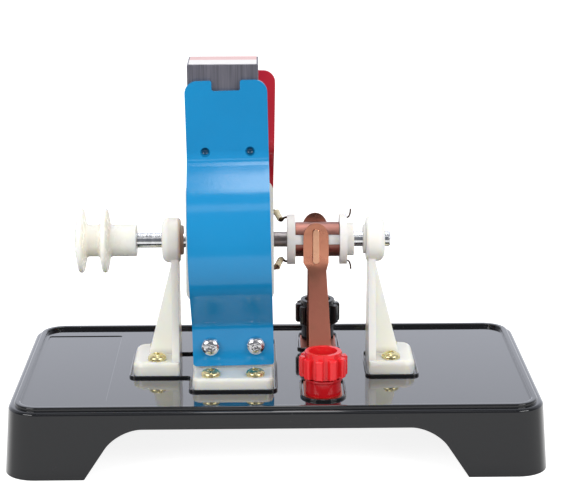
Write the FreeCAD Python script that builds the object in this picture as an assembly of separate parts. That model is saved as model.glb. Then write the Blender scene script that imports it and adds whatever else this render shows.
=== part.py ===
import FreeCAD, Part
import math
import os
from FreeCAD import Vector

# Demonstration electric motor. Millimetres, +Z up, the shaft along X with the pulley at -X,
# the front (red terminal, blue pole plate) at -Y. The origin is the middle of the base, on the table.

# base tray
baseLength = 205.0
baseWidth = 114.0
baseHeight = 26.3
baseCornerRadius = 12.0
baseDraft = 1.8
baseWall = 2.5
topEdge = 1.2
rimInset = 2.2
rimWidth = 2.4
rimHeight = 1.4
rimEdge = 0.6
recessX = -81.0
recessHalfLength = 15.5
recessHalfWidth = 43.0
recessDepth = 0.4
archHeight = 19.6
archHalfFoot = 73.2
archHalfTop = 60.1
archRadius = 17.0
bossBottom = 13.0
bossRadius = 3.8

# raised ribs that frame the feet on the panel
ribHeight = 1.6
ribWidth = 0.9
ribCorner = 2.0
footClearance = 0.6
terminalRibHalfX = 7.6
terminalNearY = 21.0
terminalFarY = 47.8
terminalNearCorner = 1.4
terminalFarCorner = 7.2

# rotor axis and bearings
axisHeight = 79.2
shaftRadius = 3.0
shaftChamfer = 0.6
runningClearance = 0.05
shaftLeft = -78.7
shaftRight = 46.4
leftBracketFace = -38.4
rightBracketFace = 37.4
bracketFootLength = 18.8
bracketFootHalfWidth = 17.5
bracketFootCorner = 4.5
footHeight = 5.0
footEdge = 1.4
webThickness = 2.9
webFootHalf = 16.0
webWaistHalf = 9.2
webWaistHeight = 49.0
webTopHalf = 5.2
gussetThickness = 3.0
gussetFoot = 12.9
gussetTop = 3.9
ringRadius = 9.0
ringRounding = 2.6
ringInnerEdge = 0.8
ringInner = -0.6
ringOuter = 6.25
bushRadius = 4.4
bushFlangeRadius = 5.9
bushFlangeThickness = 1.1
bracketScrewOffset = 9.1
bracketScrewSpread = 5.6
screwClearance = 0.3

# magnet stand, pole plates and magnet
standX = -16.7
standHalfLength = 15.9
standHalfWidth = 35.5
standCorner = 3.0
uprightHalfWidth = 17.5
uprightTop = 43.0
uprightEdge = 0.8
standScrewX = 8.7
standScrewY = 27.5
plateWidth = 32.0
plateThickness = 1.5
plateTop = 145.4
plateBottom = 32.5
plateCorner = 3.8
notchCorner = 0.8
plateFootCorner = 1.2
notchWidth = 11.0
notchDepth = 4.0
dimpleHeight = 117.3
dimpleSpread = 8.75
dimpleRadius = 1.8
pitRadius = 1.5
bumpRise = 1.0
plateScrewHeight = 39.6
plateScrewSpread = 8.95
frontPlateLean = -1.07
rearPlateLean = 1.05
rearPlateShift = -0.45
plateSides = ((-1, frontPlateLean, 0), (1, rearPlateLean, rearPlateShift))
magnetX = -18.8
magnetLength = 27.3
magnetThickness = 22.0
magnetBottom = 119.3
magnetTop = 151.4
labelMargin = 0.6
labelThickness = 0.15

# the sheet's round part: angles are how far the surface is turned from upright
bellyReach = 36.0
bellyHeight = 81.0
upperBellyRadius = 35.0
upperBellyAngle = 42.0
shoulderRadius = 8.0
upperSlant = 56.0
upperBend = 7.0
lowerBellyRadius = 28.0
lowerSlant = 37.0
lowerBend = 6.0

# screws
panHeadRadius = 3.5
panHeadHeight = 2.3
screwShank = 1.45
screwBite = 0.05
panHeadSide = 1.0
panHeadCrown = 2.5
plateScrewLength = 11.0

# armature
armatureX = -17.6
coreHalfLength = 7.8
coreNeckHalf = 15.6
shoeRadius = 30.5
shoeHalfHeight = 22.0
bobbinHalfLength = 17.2
bobbinHalfHeight = 23.2
bobbinInner = 3.6
bobbinOuter = 17.6
bobbinWall = 1.2
bobbinCorner = 3.5
coilHalfLength = 16.3
coilHalfHeight = 22.2
coilCorner = 8.5

# commutator
collarLeft = 5.0
barrelLeft = 8.2
barrelRight = 25.9
collarRight = 28.8
hubRight = 31.6
collarRadius = 10.0
hubRadius = 6.6
barrelRadius = 5.4
segmentRadius = 6.9
gapRadius = 6.6
gapHalfAngle = 17.0
segmentPlay = 0.1
leadRadius = 8.7
leadWireRadius = 0.45
sleeveRadius = 1.2
sleeveLength = 5.0
leadStartY = 6.0
leadStartRise = 11.3
leadEndY = 0.6
leadEndRise = 7.4
tailRise = 3.4
tailLean = 0.8
leadBottom = collarLeft + 1.8
tailBottom = collarRight - 1.8
rotorTurn = -11.5

# brushes
brushThickness = 0.5
brushGap = 0.1
brushPadX = 16.4
brushPadHalfWidth = 5.05
brushPadTop = 87.5
brushCrown = 6.0
brushBendHeight = 68.0
brushLeafLeft = 13.1
brushLeafRight = 20.3
brushLeafFlare = 2.3
brushKneeY = 23.0
brushNeckRise = 3.3
brushRibHalfWidth = 1.45
brushRibCorner = 1.3
brushRibHalfLength = 7.2
brushRibRise = 0.55
brushRibMiddle = 77.9
brushFootMargin = 0.6

# binding posts
postX = 18.3
postY = 37.0
collarPostRadius = 6.9
collarPostTop = 33.6
collarLip = 0.5
collarLipHeight = 1.1
knobRadius = 7.1
knobBottom = 33.9
knobTop = 44.0
knobEdge = 1.0
knobRibRadius = 9.4
knobRibWidth = 2.6
knobRibBottom = 34.3
knobRibTop = 42.1
knobRibCount = 10
knobRibTurn = -101.8
knobRibEdge = 0.4
knobCupRadius = 5.4
knobCupFloor = 39.0
insertRadius = 4.6
studRadius = 3.0
studTop = 41.6
studBottom = 13.6
socketRadius = 2.03
socketDepth = 12.0
nutCorner = 5.2
nutHeight = 3.0
washerRadius = 6.0
washerThickness = 1.0

# pulley
pulleyLeftDisc = -77.2
pulleyRightDisc = -67.7
pulleyRadius = 12.9
pulleyHubRadius = 6.4
pulleyHubEnd = -55.1
pulleyRimHalf = 0.75
pulleyRootHalf = 2.1

past = 1.0  # how far a cutter runs past a face
alongX = Vector(1, 0, 0)
alongY = Vector(0, 1, 0)
alongZ = Vector(0, 0, 1)


def save(name, shape):
    if shape.ShapeType == "Compound" and len(shape.Solids) == 1:
        shape = shape.Solids[0]
    shape.exportStep("parts/" + name + ".step")


def block(x0, x1, y0, y1, z0, z1):
    return Part.makeBox(x1 - x0, y1 - y0, z1 - z0, Vector(x0, y0, z0))


def outlineWire(cx, cy, halfX, halfY, radii, z):
    """Closed rectangle at height z; its corner radii start at +X +Y and go round to the left."""
    corners = ((1, 1, 0), (-1, 1, 90), (-1, -1, 180), (1, -1, 270))
    arcs = []
    for (signX, signY, start), radius in zip(corners, radii):
        centre = Vector(cx + signX * (halfX - radius), cy + signY * (halfY - radius), z)
        arcs.append([centre + turned(radius, start + turn) for turn in (0, 45, 90)])
    edges = []
    for (first, middle, last), following in zip(arcs, arcs[1:] + arcs[:1]):
        edges.append(Part.Arc(first, middle, last).toShape())
        edges.append(Part.LineSegment(last, following[0]).toShape())
    return Part.Wire(edges)


def roundedOutline(cx, cy, halfX, halfY, radius, z):
    return outlineWire(cx, cy, halfX, halfY, [radius] * 4, z)


def turned(radius, degrees):
    angle = math.radians(degrees)
    return Vector(radius * math.cos(angle), radius * math.sin(angle), 0)


def roundedBlock(cx, cy, halfX, halfY, radius, z0, z1):
    face = Part.Face(roundedOutline(cx, cy, halfX, halfY, radius, z0))
    return face.extrude(Vector(0, 0, z1 - z0))


def chamferWhere(shape, size, wanted):
    edges = [edge for edge in shape.Edges if wanted(edge)]
    return shape.makeChamfer(size, edges)


def filletWhere(shape, radius, wanted):
    edges = [edge for edge in shape.Edges if wanted(edge)]
    return shape.makeFillet(radius, edges)


def atHeight(z):
    def wanted(edge):
        box = edge.BoundBox
        return abs(box.ZMin - z) < 1e-4 and abs(box.ZMax - z) < 1e-4
    return wanted


def lathe(profile, origin, axis):
    """Solid of revolution of a closed profile, listed as (along the axis, radius)."""
    across = alongZ if abs(axis.z) < 0.5 else alongX
    points = [origin + axis * along + across * radius for along, radius in profile]
    face = Part.Face(Part.makePolygon(points + [points[0]]))
    return face.revolve(origin, axis, 360)


def rod(radius, start, end):
    return Part.makeCylinder(radius, (end - start).Length, start, end - start)


def bentWire(radius, points):
    """Round wire with mitred corners."""
    section = Part.Wire([Part.makeCircle(radius, points[0], points[1] - points[0])])
    mitred = 1
    return Part.makePolygon(points).makePipeShell([section], True, False, mitred)


def boredThrough(shape, radius, start, end):
    return shape.cut(rod(radius, start, end))


def panScrew(length):
    """Pan head screw that stands on the XY plane, shank down."""
    profile = [
        (-length, 0),
        (-length, screwShank),
        (0, screwShank),
        (0, panHeadRadius),
        (panHeadSide, panHeadRadius),
        (panHeadHeight, panHeadCrown),
        (panHeadHeight, 0),
    ]
    return lathe(profile, Vector(0, 0, 0), alongZ)


def bracketScrewPlaces():
    places = []
    for face, side in ((leftBracketFace, -1), (rightBracketFace, 1)):
        for y in (-bracketScrewSpread, bracketScrewSpread):
            places.append((face + side * bracketScrewOffset, y))
    return places


def standScrewPlaces():
    places = []
    for x in (standX - standScrewX, standX + standScrewX):
        for y in (-standScrewY, standScrewY):
            places.append((x, y))
    return places


def archCutter():
    """Wide opening with rounded shoulders, through the front and back walls."""
    slope = math.atan2(archHeight, archHalfFoot - archHalfTop)
    reach = archRadius * math.tan(slope / 2)
    middle = Vector(archHalfTop - reach, 0, archHeight - archRadius)
    topEnd = middle + Vector(0, 0, archRadius)
    sideEnd = middle + Vector(math.sin(slope), 0, math.cos(slope)) * archRadius
    shoulder = middle + Vector(math.sin(slope / 2), 0, math.cos(slope / 2)) * archRadius
    foot = Vector(archHalfFoot, 0, 0)
    below = foot + (foot - sideEnd).normalize() * past

    def mirrored(point):
        return Vector(-point.x, 0, point.z)

    edges = [
        Part.LineSegment(below, sideEnd),
        Part.Arc(sideEnd, shoulder, topEnd),
        Part.LineSegment(topEnd, mirrored(topEnd)),
        Part.Arc(mirrored(topEnd), mirrored(shoulder), mirrored(sideEnd)),
        Part.LineSegment(mirrored(sideEnd), mirrored(below)),
        Part.LineSegment(mirrored(below), below),
    ]
    face = Part.Face(Part.Wire([edge.toShape() for edge in edges]))
    face.translate(Vector(0, -baseWidth, 0))
    return face.extrude(Vector(0, 2 * baseWidth, 0))


def terminalFace(margin, z):
    """Front terminal's outline, round at the far end and squarer towards the shaft."""
    halfY = (terminalFarY - terminalNearY) / 2 - margin
    near = terminalNearCorner - margin
    far = terminalFarCorner - margin
    middle = -(terminalFarY + terminalNearY) / 2
    return Part.Face(outlineWire(
        postX, middle, terminalRibHalfX - margin, halfY, [near, near, far, far], z))


def footRibs():
    """Ribs round the feet and the terminals, as thin walls on the panel."""
    def outline(x0, x1, halfY):
        middle = (x0 + x1) / 2
        halfX = (x1 - x0) / 2 + footClearance
        return Part.Face(roundedOutline(middle, 0, halfX, halfY + footClearance, ribCorner, baseHeight))

    standLeft = standX - standHalfLength
    leftFoot = outline(leftBracketFace - bracketFootLength, standX, bracketFootHalfWidth)
    standFoot = outline(standLeft, standX + standHalfLength, standHalfWidth)
    rightFoot = outline(rightBracketFace, rightBracketFace + bracketFootLength, bracketFootHalfWidth)
    joined = leftFoot.fuse(standFoot).removeSplitter().Faces[0]
    frontTerminal = terminalFace(0, baseHeight)
    ribs = []
    for face in (joined, rightFoot, frontTerminal, toRear(frontTerminal)):
        outer = face.makeOffset2D(ribWidth, 0, False, False, False)
        ribs.append(outer.cut(face).extrude(Vector(0, 0, ribHeight)))
    return ribs


def taperedBlock(inset, top):
    """The tray's tapered outer form, made smaller all round by the inset."""
    low = roundedOutline(0, 0, baseLength / 2 + baseDraft - inset, baseWidth / 2 + baseDraft - inset,
                         baseCornerRadius + baseDraft - inset, 0)
    high = roundedOutline(0, 0, baseLength / 2 - inset, baseWidth / 2 - inset, baseCornerRadius - inset, top)
    return Part.makeLoft([low, high], True, True)


def panelRim():
    """Raised rim round the panel."""
    outer = roundedBlock(0, 0, baseLength / 2 - rimInset, baseWidth / 2 - rimInset,
                         baseCornerRadius - rimInset, baseHeight, baseHeight + rimHeight)
    inset = rimInset + rimWidth
    inner = roundedBlock(0, 0, baseLength / 2 - inset, baseWidth / 2 - inset,
                         baseCornerRadius - inset, baseHeight, baseHeight + rimHeight)
    return chamferWhere(outer.cut(inner), rimEdge, atHeight(baseHeight + rimHeight))


def baseTray():
    ceiling = baseHeight - baseWall
    tray = chamferWhere(taperedBlock(0, baseHeight), topEdge, atHeight(baseHeight))
    tray = tray.cut(taperedBlock(baseWall, ceiling))
    tray = tray.fuse(panelRim()).cut(archCutter())
    tray = tray.cut(roundedBlock(recessX, 0, recessHalfLength, recessHalfWidth, ribCorner,
                                 baseHeight - recessDepth, baseHeight + past))
    for rib in footRibs():
        tray = tray.fuse(rib)

    screwPlaces = bracketScrewPlaces() + standScrewPlaces()
    for x, y in screwPlaces:
        tray = tray.fuse(rod(bossRadius, Vector(x, y, bossBottom), Vector(x, y, baseHeight - recessDepth)))
    for x, y in screwPlaces:
        tray = boredThrough(tray, screwShank + screwBite, Vector(x, y, 0), Vector(x, y, baseHeight + past))
    for y in (-postY, postY):
        tray = boredThrough(tray, studRadius, Vector(postX, y, 0), Vector(postX, y, baseHeight + past))
    return tray


def bearingRing():
    """Ring on the bracket's head: rounded outside, with a small edge inside."""
    slant = ringRounding * (1 - math.sqrt(0.5))
    profile = [
        (ringInner, bushRadius),
        (ringInner, ringRadius - ringInnerEdge),
        (ringInner + ringInnerEdge, ringRadius),
        (ringOuter - ringRounding, ringRadius),
        (ringOuter - slant, ringRadius - slant),
        (ringOuter, ringRadius - ringRounding),
        (ringOuter, bushRadius),
    ]
    return lathe(profile, Vector(0, 0, axisHeight), alongX)


def bearingBracket():
    """Bracket in its own frame: inner face at x 0, foot outwards along +X, shaft axis at y 0."""
    top = baseHeight + footHeight
    middle = bracketFootLength / 2
    radii = [bracketFootCorner, ribCorner, ribCorner, bracketFootCorner]
    outline = outlineWire(middle, 0, middle, bracketFootHalfWidth, radii, baseHeight)
    foot = Part.Face(outline).extrude(Vector(0, 0, footHeight))
    foot = chamferWhere(foot, footEdge, atHeight(top))

    low = top - footEdge
    high = axisHeight - bushRadius - past
    leftWaist = Vector(0, -webWaistHalf, webWaistHeight)
    rightWaist = Vector(0, webWaistHalf, webWaistHeight)
    web = [
        Part.LineSegment(Vector(0, -webFootHalf, low), Vector(0, webFootHalf, low)),
        Part.Arc(Vector(0, webFootHalf, low), rightWaist, Vector(0, webTopHalf, high)),
        Part.LineSegment(Vector(0, webTopHalf, high), Vector(0, -webTopHalf, high)),
        Part.Arc(Vector(0, -webTopHalf, high), leftWaist, Vector(0, -webFootHalf, low)),
    ]
    webFace = Part.Face(Part.Wire([edge.toShape() for edge in web]))
    upright = webFace.extrude(Vector(webThickness, 0, 0))

    corners = [Vector(0, 0, low), Vector(gussetFoot, 0, low), Vector(gussetTop, 0, high), Vector(0, 0, high)]
    gusset = Part.Face(Part.makePolygon(corners + [corners[0]]))
    gusset.translate(Vector(0, -gussetThickness / 2, 0))
    gusset = gusset.extrude(Vector(0, gussetThickness, 0))

    bracket = foot.fuse(upright).fuse(gusset)
    inRing = Vector(0, 0, axisHeight)
    bracket = boredThrough(bracket, bushRadius, inRing, inRing + alongX * ringOuter)
    bracket = bracket.fuse(bearingRing()).removeSplitter()
    for y in (-bracketScrewSpread, bracketScrewSpread):
        under = Vector(bracketScrewOffset, y, baseHeight)
        bracket = boredThrough(bracket, screwShank + screwClearance, under, under + alongZ * footHeight)
    return bracket


def bearingBush():
    """Flanged bush that fills the bracket's ring, in the bracket's own frame."""
    bore = shaftRadius + runningClearance
    profile = [
        (ringInner - bushFlangeThickness, bore),
        (ringInner - bushFlangeThickness, bushFlangeRadius),
        (ringInner, bushFlangeRadius),
        (ringInner, bushRadius),
        (ringOuter, bushRadius),
        (ringOuter, bore),
    ]
    return lathe(profile, Vector(0, 0, axisHeight), alongX)


def placedBracketPiece(piece, face, side):
    if side < 0:
        piece = piece.mirror(Vector(0, 0, 0), alongX)
    return piece.translated(Vector(face, 0, 0))


def magnetStand():
    top = baseHeight + footHeight
    foot = roundedBlock(standX, 0, standHalfLength, standHalfWidth, standCorner, baseHeight, top)
    foot = chamferWhere(foot, footEdge, atHeight(top))
    upright = block(standX - standHalfLength, standX + standHalfLength, -uprightHalfWidth, uprightHalfWidth,
                    baseHeight, uprightTop)
    upright = chamferWhere(upright, uprightEdge, atHeight(uprightTop))
    stand = foot.fuse(upright).removeSplitter()
    for x, y in standScrewPlaces():
        under = Vector(x, y, baseHeight)
        stand = boredThrough(stand, screwShank + screwClearance, under, under + alongZ * footHeight)
    for side, lean, shift in plateSides:
        for place in plateScrewPlaces(side, lean, shift):
            inside = place - alongY * side * plateScrewLength
            stand = boredThrough(stand, screwShank + screwBite, inside, place)
    return stand


def leaned(shape, lean, shift):
    """Turn an upright pole plate about the middle of its screws, and move it along the stand."""
    turned = shape.copy()
    turned.rotate(Vector(standX, 0, plateScrewHeight), alongY, lean)
    turned.translate(alongX * shift)
    return turned


def plateScrewPlaces(side, lean, shift):
    """Where the two screws of one pole plate sit, on the plate's outer face."""
    outside = side * (uprightHalfWidth + plateThickness)
    places = []
    for spread in (-plateScrewSpread, plateScrewSpread):
        upright = Part.Vertex(Vector(standX + spread, outside, plateScrewHeight))
        places.append(leaned(upright, lean, shift).Point)
    return places


def sheetHalf(depth, side, rounds, bend, flat):
    """Edges of one face of the sheet from the belly to its flat end, and where the flat starts.

    side is 1 for the upper half and -1 for the lower one. Each round is a radius and the angle it ends at.
    """
    def outward(degrees):
        angle = math.radians(degrees)
        return Vector(0, -math.cos(angle), side * math.sin(angle))

    point = Vector(0, depth - bellyReach, bellyHeight)
    edges = []
    angle = 0.0
    for radius, last in rounds:
        centre = point - outward(angle) * (radius - depth)
        middle = centre + outward((angle + last) / 2) * (radius - depth)
        end = centre + outward(last) * (radius - depth)
        edges.append(Part.Arc(point, middle, end))
        point = end
        angle = last
    slope = math.radians(angle)
    ahead = depth - flat - plateThickness - (bend + depth) * (1 - math.cos(slope)) - point.y
    end = point + Vector(0, ahead, side * ahead / math.tan(slope))
    edges.append(Part.LineSegment(point, end))
    centre = end + outward(angle) * (bend + depth)
    flatStart = centre - outward(0) * (bend + depth)
    edges.append(Part.Arc(end, centre - outward(angle / 2) * (bend + depth), flatStart))
    return edges, flatStart


def plateProfile():
    """Side view of the front plate's sheet: flat on the magnet, round the armature, flat on the stand."""
    upperRounds = ((upperBellyRadius, upperBellyAngle), (shoulderRadius, upperSlant))
    lowerRounds = ((lowerBellyRadius, lowerSlant),)
    edges = []
    ends = []
    for depth in (0, plateThickness):
        upper, upperStart = sheetHalf(depth, 1, upperRounds, upperBend, magnetThickness / 2)
        lower, lowerStart = sheetHalf(depth, -1, lowerRounds, lowerBend, uprightHalfWidth)
        top = Vector(0, upperStart.y, plateTop)
        bottom = Vector(0, lowerStart.y, plateBottom)
        edges += upper + lower
        edges += [Part.LineSegment(upperStart, top), Part.LineSegment(lowerStart, bottom)]
        ends.append((top, bottom))
    (outTop, outBottom), (inTop, inBottom) = ends
    edges += [Part.LineSegment(outTop, inTop), Part.LineSegment(outBottom, inBottom)]
    return Part.Face(Part.Wire(Part.__sortEdges__([edge.toShape() for edge in edges])))


def polePlate():
    """Front pole plate: sheet steel with a notch, two pressed dimples and two screw holes."""
    face = plateProfile()
    face.translate(Vector(standX - plateWidth / 2, 0, 0))
    plate = face.extrude(Vector(plateWidth, 0, 0))
    plate = plate.cut(block(standX - notchWidth / 2, standX + notchWidth / 2, -bellyReach, 0,
                            plateTop - notchDepth, plateTop + past))

    def cornerAt(halfWidth, z):
        """Picks the short edges through the sheet at the given half width, at or near height z."""
        def wanted(edge):
            box = edge.BoundBox
            onSide = abs(abs(box.XMin - standX) - halfWidth) < 1e-3 and box.XLength < 1e-3
            return onSide and box.ZLength < 1e-3 and abs(box.ZMin - z) < 1e-3
        return wanted
    plate = filletWhere(plate, plateCorner, cornerAt(plateWidth / 2, plateTop))
    plate = filletWhere(plate, notchCorner, cornerAt(notchWidth / 2, plateTop))
    plate = filletWhere(plate, notchCorner, cornerAt(notchWidth / 2, plateTop - notchDepth))
    plate = filletWhere(plate, plateFootCorner, cornerAt(plateWidth / 2, plateBottom))

    inside = -magnetThickness / 2
    outside = inside - plateThickness
    for x in (standX - dimpleSpread, standX + dimpleSpread):
        back = Vector(x, inside, dimpleHeight)
        front = Vector(x, outside, dimpleHeight)
        plate = plate.fuse(rod(dimpleRadius, front, back + alongY * bumpRise))
        plate = boredThrough(plate, pitRadius, front - alongY * past, front + alongY * plateThickness)
    for x in (standX - plateScrewSpread, standX + plateScrewSpread):
        back = Vector(x, -uprightHalfWidth, plateScrewHeight)
        plate = boredThrough(plate, screwShank + screwClearance, back - alongY * plateThickness, back)
    return plate


def magnetBlock():
    half = magnetLength / 2
    return block(magnetX - half, magnetX + half, -magnetThickness / 2, magnetThickness / 2,
                 magnetBottom, magnetTop)


def magnetLabel():
    halfX = magnetLength / 2 - labelMargin
    halfY = magnetThickness / 2 - labelMargin
    return block(magnetX - halfX, magnetX + halfX, -halfY, halfY, magnetTop, magnetTop + labelThickness)


def armatureCore():
    """Laminated core: a neck through both bobbins and two round pole shoes."""
    reach = math.sqrt(shoeRadius ** 2 - shoeHalfHeight ** 2)
    seat = bobbinOuter
    left = armatureX - coreHalfLength
    thickness = Vector(2 * coreHalfLength, 0, 0)
    core = block(left, left + 2 * coreHalfLength, -seat - past, seat + past,
                 axisHeight - coreNeckHalf, axisHeight + coreNeckHalf)
    for side in (-1, 1):
        low = axisHeight - shoeHalfHeight
        high = axisHeight + shoeHalfHeight
        edges = [
            Part.LineSegment(Vector(left, side * seat, low), Vector(left, side * reach, low)),
            Part.Arc(Vector(left, side * reach, low), Vector(left, side * shoeRadius, axisHeight),
                     Vector(left, side * reach, high)),
            Part.LineSegment(Vector(left, side * reach, high), Vector(left, side * seat, high)),
            Part.LineSegment(Vector(left, side * seat, high), Vector(left, side * seat, low)),
        ]
        shoe = Part.Face(Part.Wire([edge.toShape() for edge in edges])).extrude(thickness)
        core = core.fuse(shoe)
    core = core.removeSplitter()
    start = Vector(left, 0, axisHeight)
    return boredThrough(core, shaftRadius, start, start + thickness)


def bobbinShape(halfX, halfZ, corner, y0, y1):
    """Slab with round corners that lies in the XZ plane, from y0 to y1."""
    slab = roundedBlock(0, 0, halfX, halfZ, corner, 0, y1 - y0)
    slab.rotate(Vector(0, 0, 0), alongX, -90)
    return slab.translated(Vector(armatureX, y0, axisHeight))


def bobbin():
    """Rear bobbin: a sleeve on the neck with a cheek at each end."""
    cheeks = [
        bobbinShape(bobbinHalfLength, bobbinHalfHeight, bobbinCorner, start, start + bobbinWall)
        for start in (bobbinInner, bobbinOuter - bobbinWall)
    ]
    sleeve = bobbinShape(coreHalfLength + bobbinWall, coreNeckHalf + bobbinWall, bobbinWall,
                         bobbinInner, bobbinOuter)
    neck = block(armatureX - coreHalfLength, armatureX + coreHalfLength, 0, bobbinOuter,
                 axisHeight - coreNeckHalf, axisHeight + coreNeckHalf)
    return sleeve.fuse(cheeks).removeSplitter().cut(neck)


def coil():
    """Rear coil: the wound turns between the bobbin's cheeks."""
    y0 = bobbinInner + bobbinWall
    y1 = bobbinOuter - bobbinWall
    turns = bobbinShape(coilHalfLength, coilHalfHeight, coilCorner, y0, y1)
    return turns.cut(bobbinShape(coreHalfLength + bobbinWall, coreNeckHalf + bobbinWall, bobbinWall, y0, y1))


def segmentBlank(start, end):
    """Half ring of copper, up the positive Z side, between two stations on the shaft."""
    first = gapHalfAngle
    last = 180 - gapHalfAngle

    def at(radius, degrees):
        angle = math.radians(degrees)
        return Vector(start, radius * math.cos(angle), axisHeight + radius * math.sin(angle))
    edges = [
        Part.Arc(at(segmentRadius, first), at(segmentRadius, 90), at(segmentRadius, last)),
        Part.LineSegment(at(segmentRadius, last), at(barrelRadius, last)),
        Part.Arc(at(barrelRadius, last), at(barrelRadius, 90), at(barrelRadius, first)),
        Part.LineSegment(at(barrelRadius, first), at(segmentRadius, first)),
    ]
    face = Part.Face(Part.Wire([edge.toShape() for edge in edges]))
    return face.extrude(Vector(end - start, 0, 0))


def halfTurn(shape):
    """The same piece on the other side of the shaft."""
    copy = shape.copy()
    copy.rotate(Vector(0, 0, axisHeight), alongX, 180)
    return copy


def commutatorFormer():
    """Nylon body: two collars that hold the segments between them, and a hub."""
    profile = [
        (collarLeft, shaftRadius),
        (collarLeft, collarRadius),
        (barrelLeft, collarRadius),
        (barrelLeft, gapRadius),
        (barrelRight, gapRadius),
        (barrelRight, collarRadius),
        (collarRight, collarRadius),
        (collarRight, hubRadius),
        (hubRight, hubRadius),
        (hubRight, shaftRadius),
    ]
    former = lathe(profile, Vector(0, 0, axisHeight), alongX)
    seat = segmentBlank(barrelLeft, barrelRight)
    former = former.cut(seat).cut(halfTurn(seat))
    for z in (axisHeight - leadRadius, axisHeight + leadRadius):
        for inside, outside in ((leadBottom, collarLeft), (tailBottom, collarRight)):
            former = boredThrough(former, leadWireRadius, Vector(inside, 0, z), Vector(outside, 0, z))
    return former


def upperLeadPoints():
    """From the rear coil's end face to the hole in the commutator's left collar."""
    coilEnd = armatureX + coilHalfLength
    start = axisHeight + leadStartRise
    end = axisHeight + leadRadius
    return [
        Vector(coilEnd, leadStartY, start),
        Vector(coilEnd + 4 * leadWireRadius, leadStartY, start),
        Vector(collarLeft - 5 * leadWireRadius, leadEndY, axisHeight + leadEndRise),
        Vector(collarLeft - 2 * leadWireRadius, 0, end),
        Vector(leadBottom, 0, end),
    ]


def upperLead():
    return bentWire(leadWireRadius, upperLeadPoints())


def upperSleeve():
    """Insulating sleeve on the slanting run of the lead."""
    high, low = upperLeadPoints()[1:3]
    middle = (high + low) / 2
    half = (low - high).normalize() * (sleeveLength / 2)
    start = middle - half
    end = middle + half
    return boredThrough(rod(sleeveRadius, start, end), leadWireRadius + runningClearance, start, end)


def upperTail():
    """Wire end that ties the upper segment down, outside the right collar."""
    z = axisHeight + leadRadius
    bend = collarRight + 2 * leadWireRadius
    return bentWire(leadWireRadius, [
        Vector(tailBottom, 0, z),
        Vector(bend, 0, z),
        Vector(bend + tailLean, 0, z + tailRise),
    ])


def shaft():
    profile = [
        (shaftLeft, 0),
        (shaftLeft, shaftRadius - shaftChamfer),
        (shaftLeft + shaftChamfer, shaftRadius),
        (shaftRight - shaftChamfer, shaftRadius),
        (shaftRight, shaftRadius - shaftChamfer),
        (shaftRight, 0),
    ]
    return lathe(profile, Vector(0, 0, axisHeight), alongX)


def pulley():
    """Two discs, thicker towards the hub, on a hub that is longer on the right."""
    left = pulleyLeftDisc
    right = pulleyRightDisc
    profile = [
        (left - pulleyRootHalf, shaftRadius),
        (left - pulleyRootHalf, pulleyHubRadius),
        (left - pulleyRimHalf, pulleyRadius),
        (left + pulleyRimHalf, pulleyRadius),
        (left + pulleyRootHalf, pulleyHubRadius),
        (right - pulleyRootHalf, pulleyHubRadius),
        (right - pulleyRimHalf, pulleyRadius),
        (right + pulleyRimHalf, pulleyRadius),
        (right + pulleyRootHalf, pulleyHubRadius),
        (pulleyHubEnd, pulleyHubRadius),
        (pulleyHubEnd, shaftRadius),
    ]
    return lathe(profile, Vector(0, 0, axisHeight), alongX)


def brushSide():
    """Edge view of the strip: upright behind the pad, then slanting out to the panel."""
    inner = -(segmentRadius + brushGap)
    outer = inner - brushThickness
    footMiddle = baseHeight + brushThickness / 2
    rise = brushBendHeight - footMiddle
    across = brushThickness * math.hypot(rise, brushKneeY + inner) / rise
    corners = [
        Vector(0, inner, brushPadTop),
        Vector(0, inner, brushBendHeight),
        Vector(0, across - brushKneeY, footMiddle),
        Vector(0, -brushKneeY, footMiddle),
        Vector(0, outer, brushBendHeight),
        Vector(0, outer, brushPadTop),
    ]
    return Part.Face(Part.makePolygon(corners + [corners[0]]))


def brushFront():
    """Front view of the strip: domed pad, shoulders and a leaf that widens towards the panel."""
    shoulder = brushPadTop - brushCrown
    left = brushPadX - brushPadHalfWidth
    right = brushPadX + brushPadHalfWidth
    slant = math.sqrt(0.5)
    roof = Part.BSplineCurve()
    roof.interpolate(
        [Vector(left, 0, shoulder),
         Vector(brushPadX - brushPadHalfWidth * slant, 0, shoulder + brushCrown * slant),
         Vector(brushPadX, 0, brushPadTop),
         Vector(brushPadX + brushPadHalfWidth * slant, 0, shoulder + brushCrown * slant),
         Vector(right, 0, shoulder)],
        InitialTangent=alongZ, FinalTangent=alongZ * -1)
    corners = [
        Vector(right, 0, shoulder),
        Vector(right, 0, brushBendHeight + brushNeckRise),
        Vector(brushLeafRight, 0, brushBendHeight),
        Vector(brushLeafRight + brushLeafFlare, 0, baseHeight),
        Vector(brushLeafLeft, 0, baseHeight),
        Vector(brushLeafLeft, 0, brushBendHeight),
        Vector(left, 0, brushBendHeight + brushNeckRise),
        Vector(left, 0, shoulder),
    ]
    edges = [roof] + [Part.LineSegment(start, end) for start, end in zip(corners, corners[1:])]
    return Part.Face(Part.Wire([edge.toShape() for edge in edges]))


def frontBrush():
    """Spring copper strip: pad on the commutator, leaf down to the panel, foot under the terminal."""
    wide = brushSide().extrude(Vector(postX + brushLeafRight, 0, 0))
    strip = wide.common(brushFront().extrude(Vector(0, -postY, 0)))
    foot = terminalFace(brushFootMargin, baseHeight).extrude(Vector(0, 0, brushThickness))

    rib = roundedBlock(0, 0, brushRibHalfWidth, brushRibHalfLength, brushRibCorner, 0, brushRibRise)
    rib.rotate(Vector(0, 0, 0), alongX, 90)
    rib.translate(Vector(brushPadX, -(segmentRadius + brushGap + brushThickness), brushRibMiddle))
    brush = strip.fuse(foot).fuse(rib).removeSplitter()
    under = Vector(postX, -postY, baseHeight)
    return boredThrough(brush, studRadius, under, under + alongZ * brushThickness)


def toRear(shape):
    return shape.mirror(Vector(0, 0, 0), alongY)


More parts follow.
